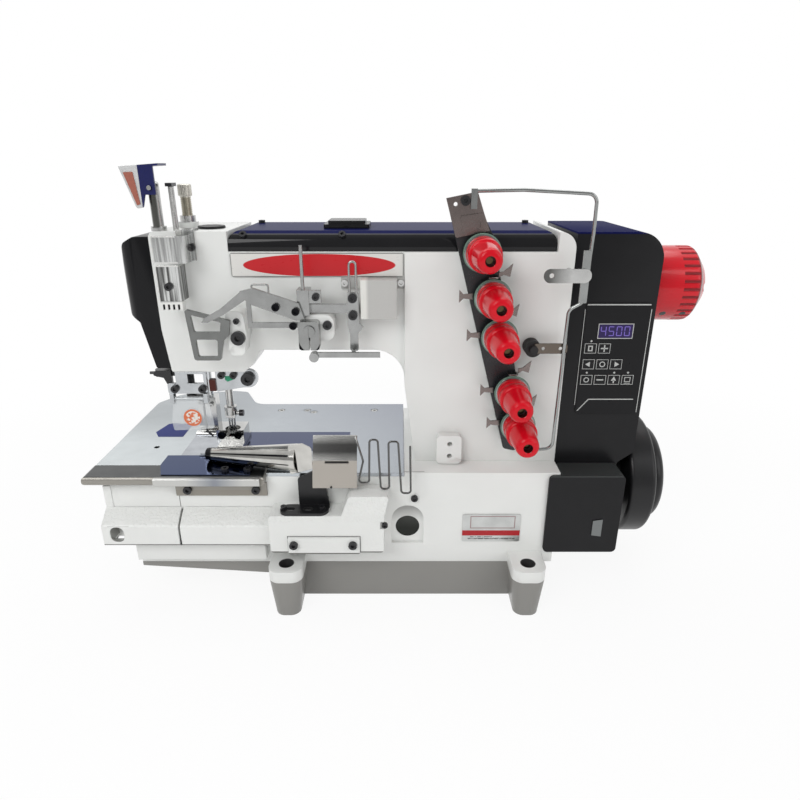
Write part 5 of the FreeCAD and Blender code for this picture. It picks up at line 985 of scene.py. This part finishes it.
# ---------------------------------------------------------------- loose screws
def cap_screw(x, y, z, radius, depth):
    """A socket-head screw whose head faces the front, ending at y + depth."""
    screw = round_blank(x, y + depth / 2, z, radius, depth, 36)
    for face in screw.data.polygons:
        face.select = face.normal.y < -0.9
    bpy.ops.object.mode_set(mode="EDIT")
    bpy.ops.mesh.select_mode(type="FACE")
    bpy.ops.mesh.inset(thickness=0.22 * radius * MM, depth=0.12 * radius * MM)
    bpy.ops.mesh.inset(thickness=0.25 * radius * MM, depth=0)
    bpy.ops.mesh.extrude_region_move(TRANSFORM_OT_translate={"value": (0, 0.5 * depth * MM, 0)})
    bpy.ops.object.mode_set(mode="OBJECT")
    bpy.ops.object.shade_smooth_by_angle(angle=SMOOTH_ANGLE)
    return screw


# the front of each head, its radius and depth
SMALL_SCREWS = (
    (7.4, -89.4, 121.0, 3.6, 2.5),
    (-22.6, -113.2, 104.2, 3.0, 3.0),
    (-199.6, -59.6, 369.2, 3.5, 2.7),
    (-75.5, -104.2, 143.0, 1.1, 1.4),
)
screws = [cap_screw(*screw) for screw in SMALL_SCREWS]
joined("small_black_screws", screws, finishes["black_oxide"], "frame")


# ---------------------------------------------------------------- stage
NEAR_GLOW = 0.91
RAYS = ("Is Camera Ray", "Is Glossy Ray", "Is Transmission Ray")


def floor_finish():
    """Pale floor: seen nearly white, with soft shadows near the object."""
    finish = Finish("pale floor", (0.9, 0.9, 0.9), 0.9)
    seen = sum(finish.node("ShaderNodeLightPath", {}, {}, ray) for ray in RAYS)
    light = finish.node("ShaderNodeEmission", {}, {"Color": (1.0, 1.0, 1.0), "Strength": 1.0})
    spread = finish.axis("X") * finish.axis("X") + finish.axis("Y") * finish.axis("Y")
    glow = NEAR_GLOW + (1 - NEAR_GLOW) * spread.above(0.5, 0.6)
    lit = Value(finish, finish.shader.outputs[0])
    finish.fill(finish.surface, finish.mix_shader(seen.above(0.5, 0.1) * glow, lit, light))
    return finish


bpy.ops.mesh.primitive_plane_add(size=8.0, location=(0, 0, 0))
floor = bpy.context.object
floor.name = "floor"
floor.data.materials.append(floor_finish().material)


def softbox(name, place, aim, width, height, power):
    """A rectangular lamp at a place, turned to its aim."""
    lamp = bpy.data.lights.new(name, "AREA")
    lamp.shape = "RECTANGLE"
    lamp.size = width
    lamp.size_y = height
    lamp.energy = power
    holder = bpy.data.objects.new(name, lamp)
    bpy.context.scene.collection.objects.link(holder)
    holder.location = place
    holder.rotation_euler = (Vector(aim) - Vector(place)).to_track_quat("-Z", "Y").to_euler()


softbox("key softbox", (-1.1, -1.5, 1.6), (0, 0, 0.2), 1.2, 1.2, 20.5)
softbox("fill softbox", (1.5, -1.2, 1.1), (0, 0, 0.2), 1.0, 1.4, 8.6)
softbox("top softbox", (0.0, 0.5, 1.9), (0, 0, 0.3), 2.0, 0.9, 12.8)

# the room: its light on the object is even, but mirrors see its half behind the camera dimmer,
# so that bright metal has contrast, and the camera sees all of it white
ROOM_LIGHT = 0.455
world = bpy.data.worlds.new("studio")
bpy.context.scene.world = world
world.use_nodes = True
room = Maker(world.node_tree)
place = room.node("ShaderNodeTexCoord", {}, {}, "Generated")
depth = room.node("ShaderNodeSeparateXYZ", {}, {0: place}, "Y")
ramp = {"Value": depth, "From Min": -0.6, "From Max": 0.3, "To Min": 0.35, "To Max": 1.0}
dimmer = room.node("ShaderNodeMapRange", {}, ramp)
camera_ray, glossy_ray, clear_ray = (room.node("ShaderNodeLightPath", {}, {}, r) for r in RAYS)
white = {"Color": (1, 1, 1), "Strength": dimmer.larger(camera_ray)}
seen = room.node("ShaderNodeBackground", {}, white)
lit = room.node("ShaderNodeBackground", {}, {"Color": (1, 1, 1), "Strength": ROOM_LIGHT})
blend = room.mix_shader(camera_ray.larger(glossy_ray).larger(clear_ray), lit, seen)
room.node("ShaderNodeOutputWorld", {}, {"Surface": blend})

camera = bpy.data.objects.new("camera", bpy.data.cameras.new("camera"))
bpy.context.scene.collection.objects.link(camera)
camera.location = (-7.4 * MM, -625 * MM, 440 * MM)
LOOKS_DOWN = 21.39
camera.rotation_euler = (math.radians(90 - LOOKS_DOWN), 0, 0)
camera.data.lens = 27.0
camera.data.sensor_width = 36.0
camera.data.clip_start = 0.01
bpy.context.scene.camera = camera
bpy.context.scene.view_settings.view_transform = "Standard"
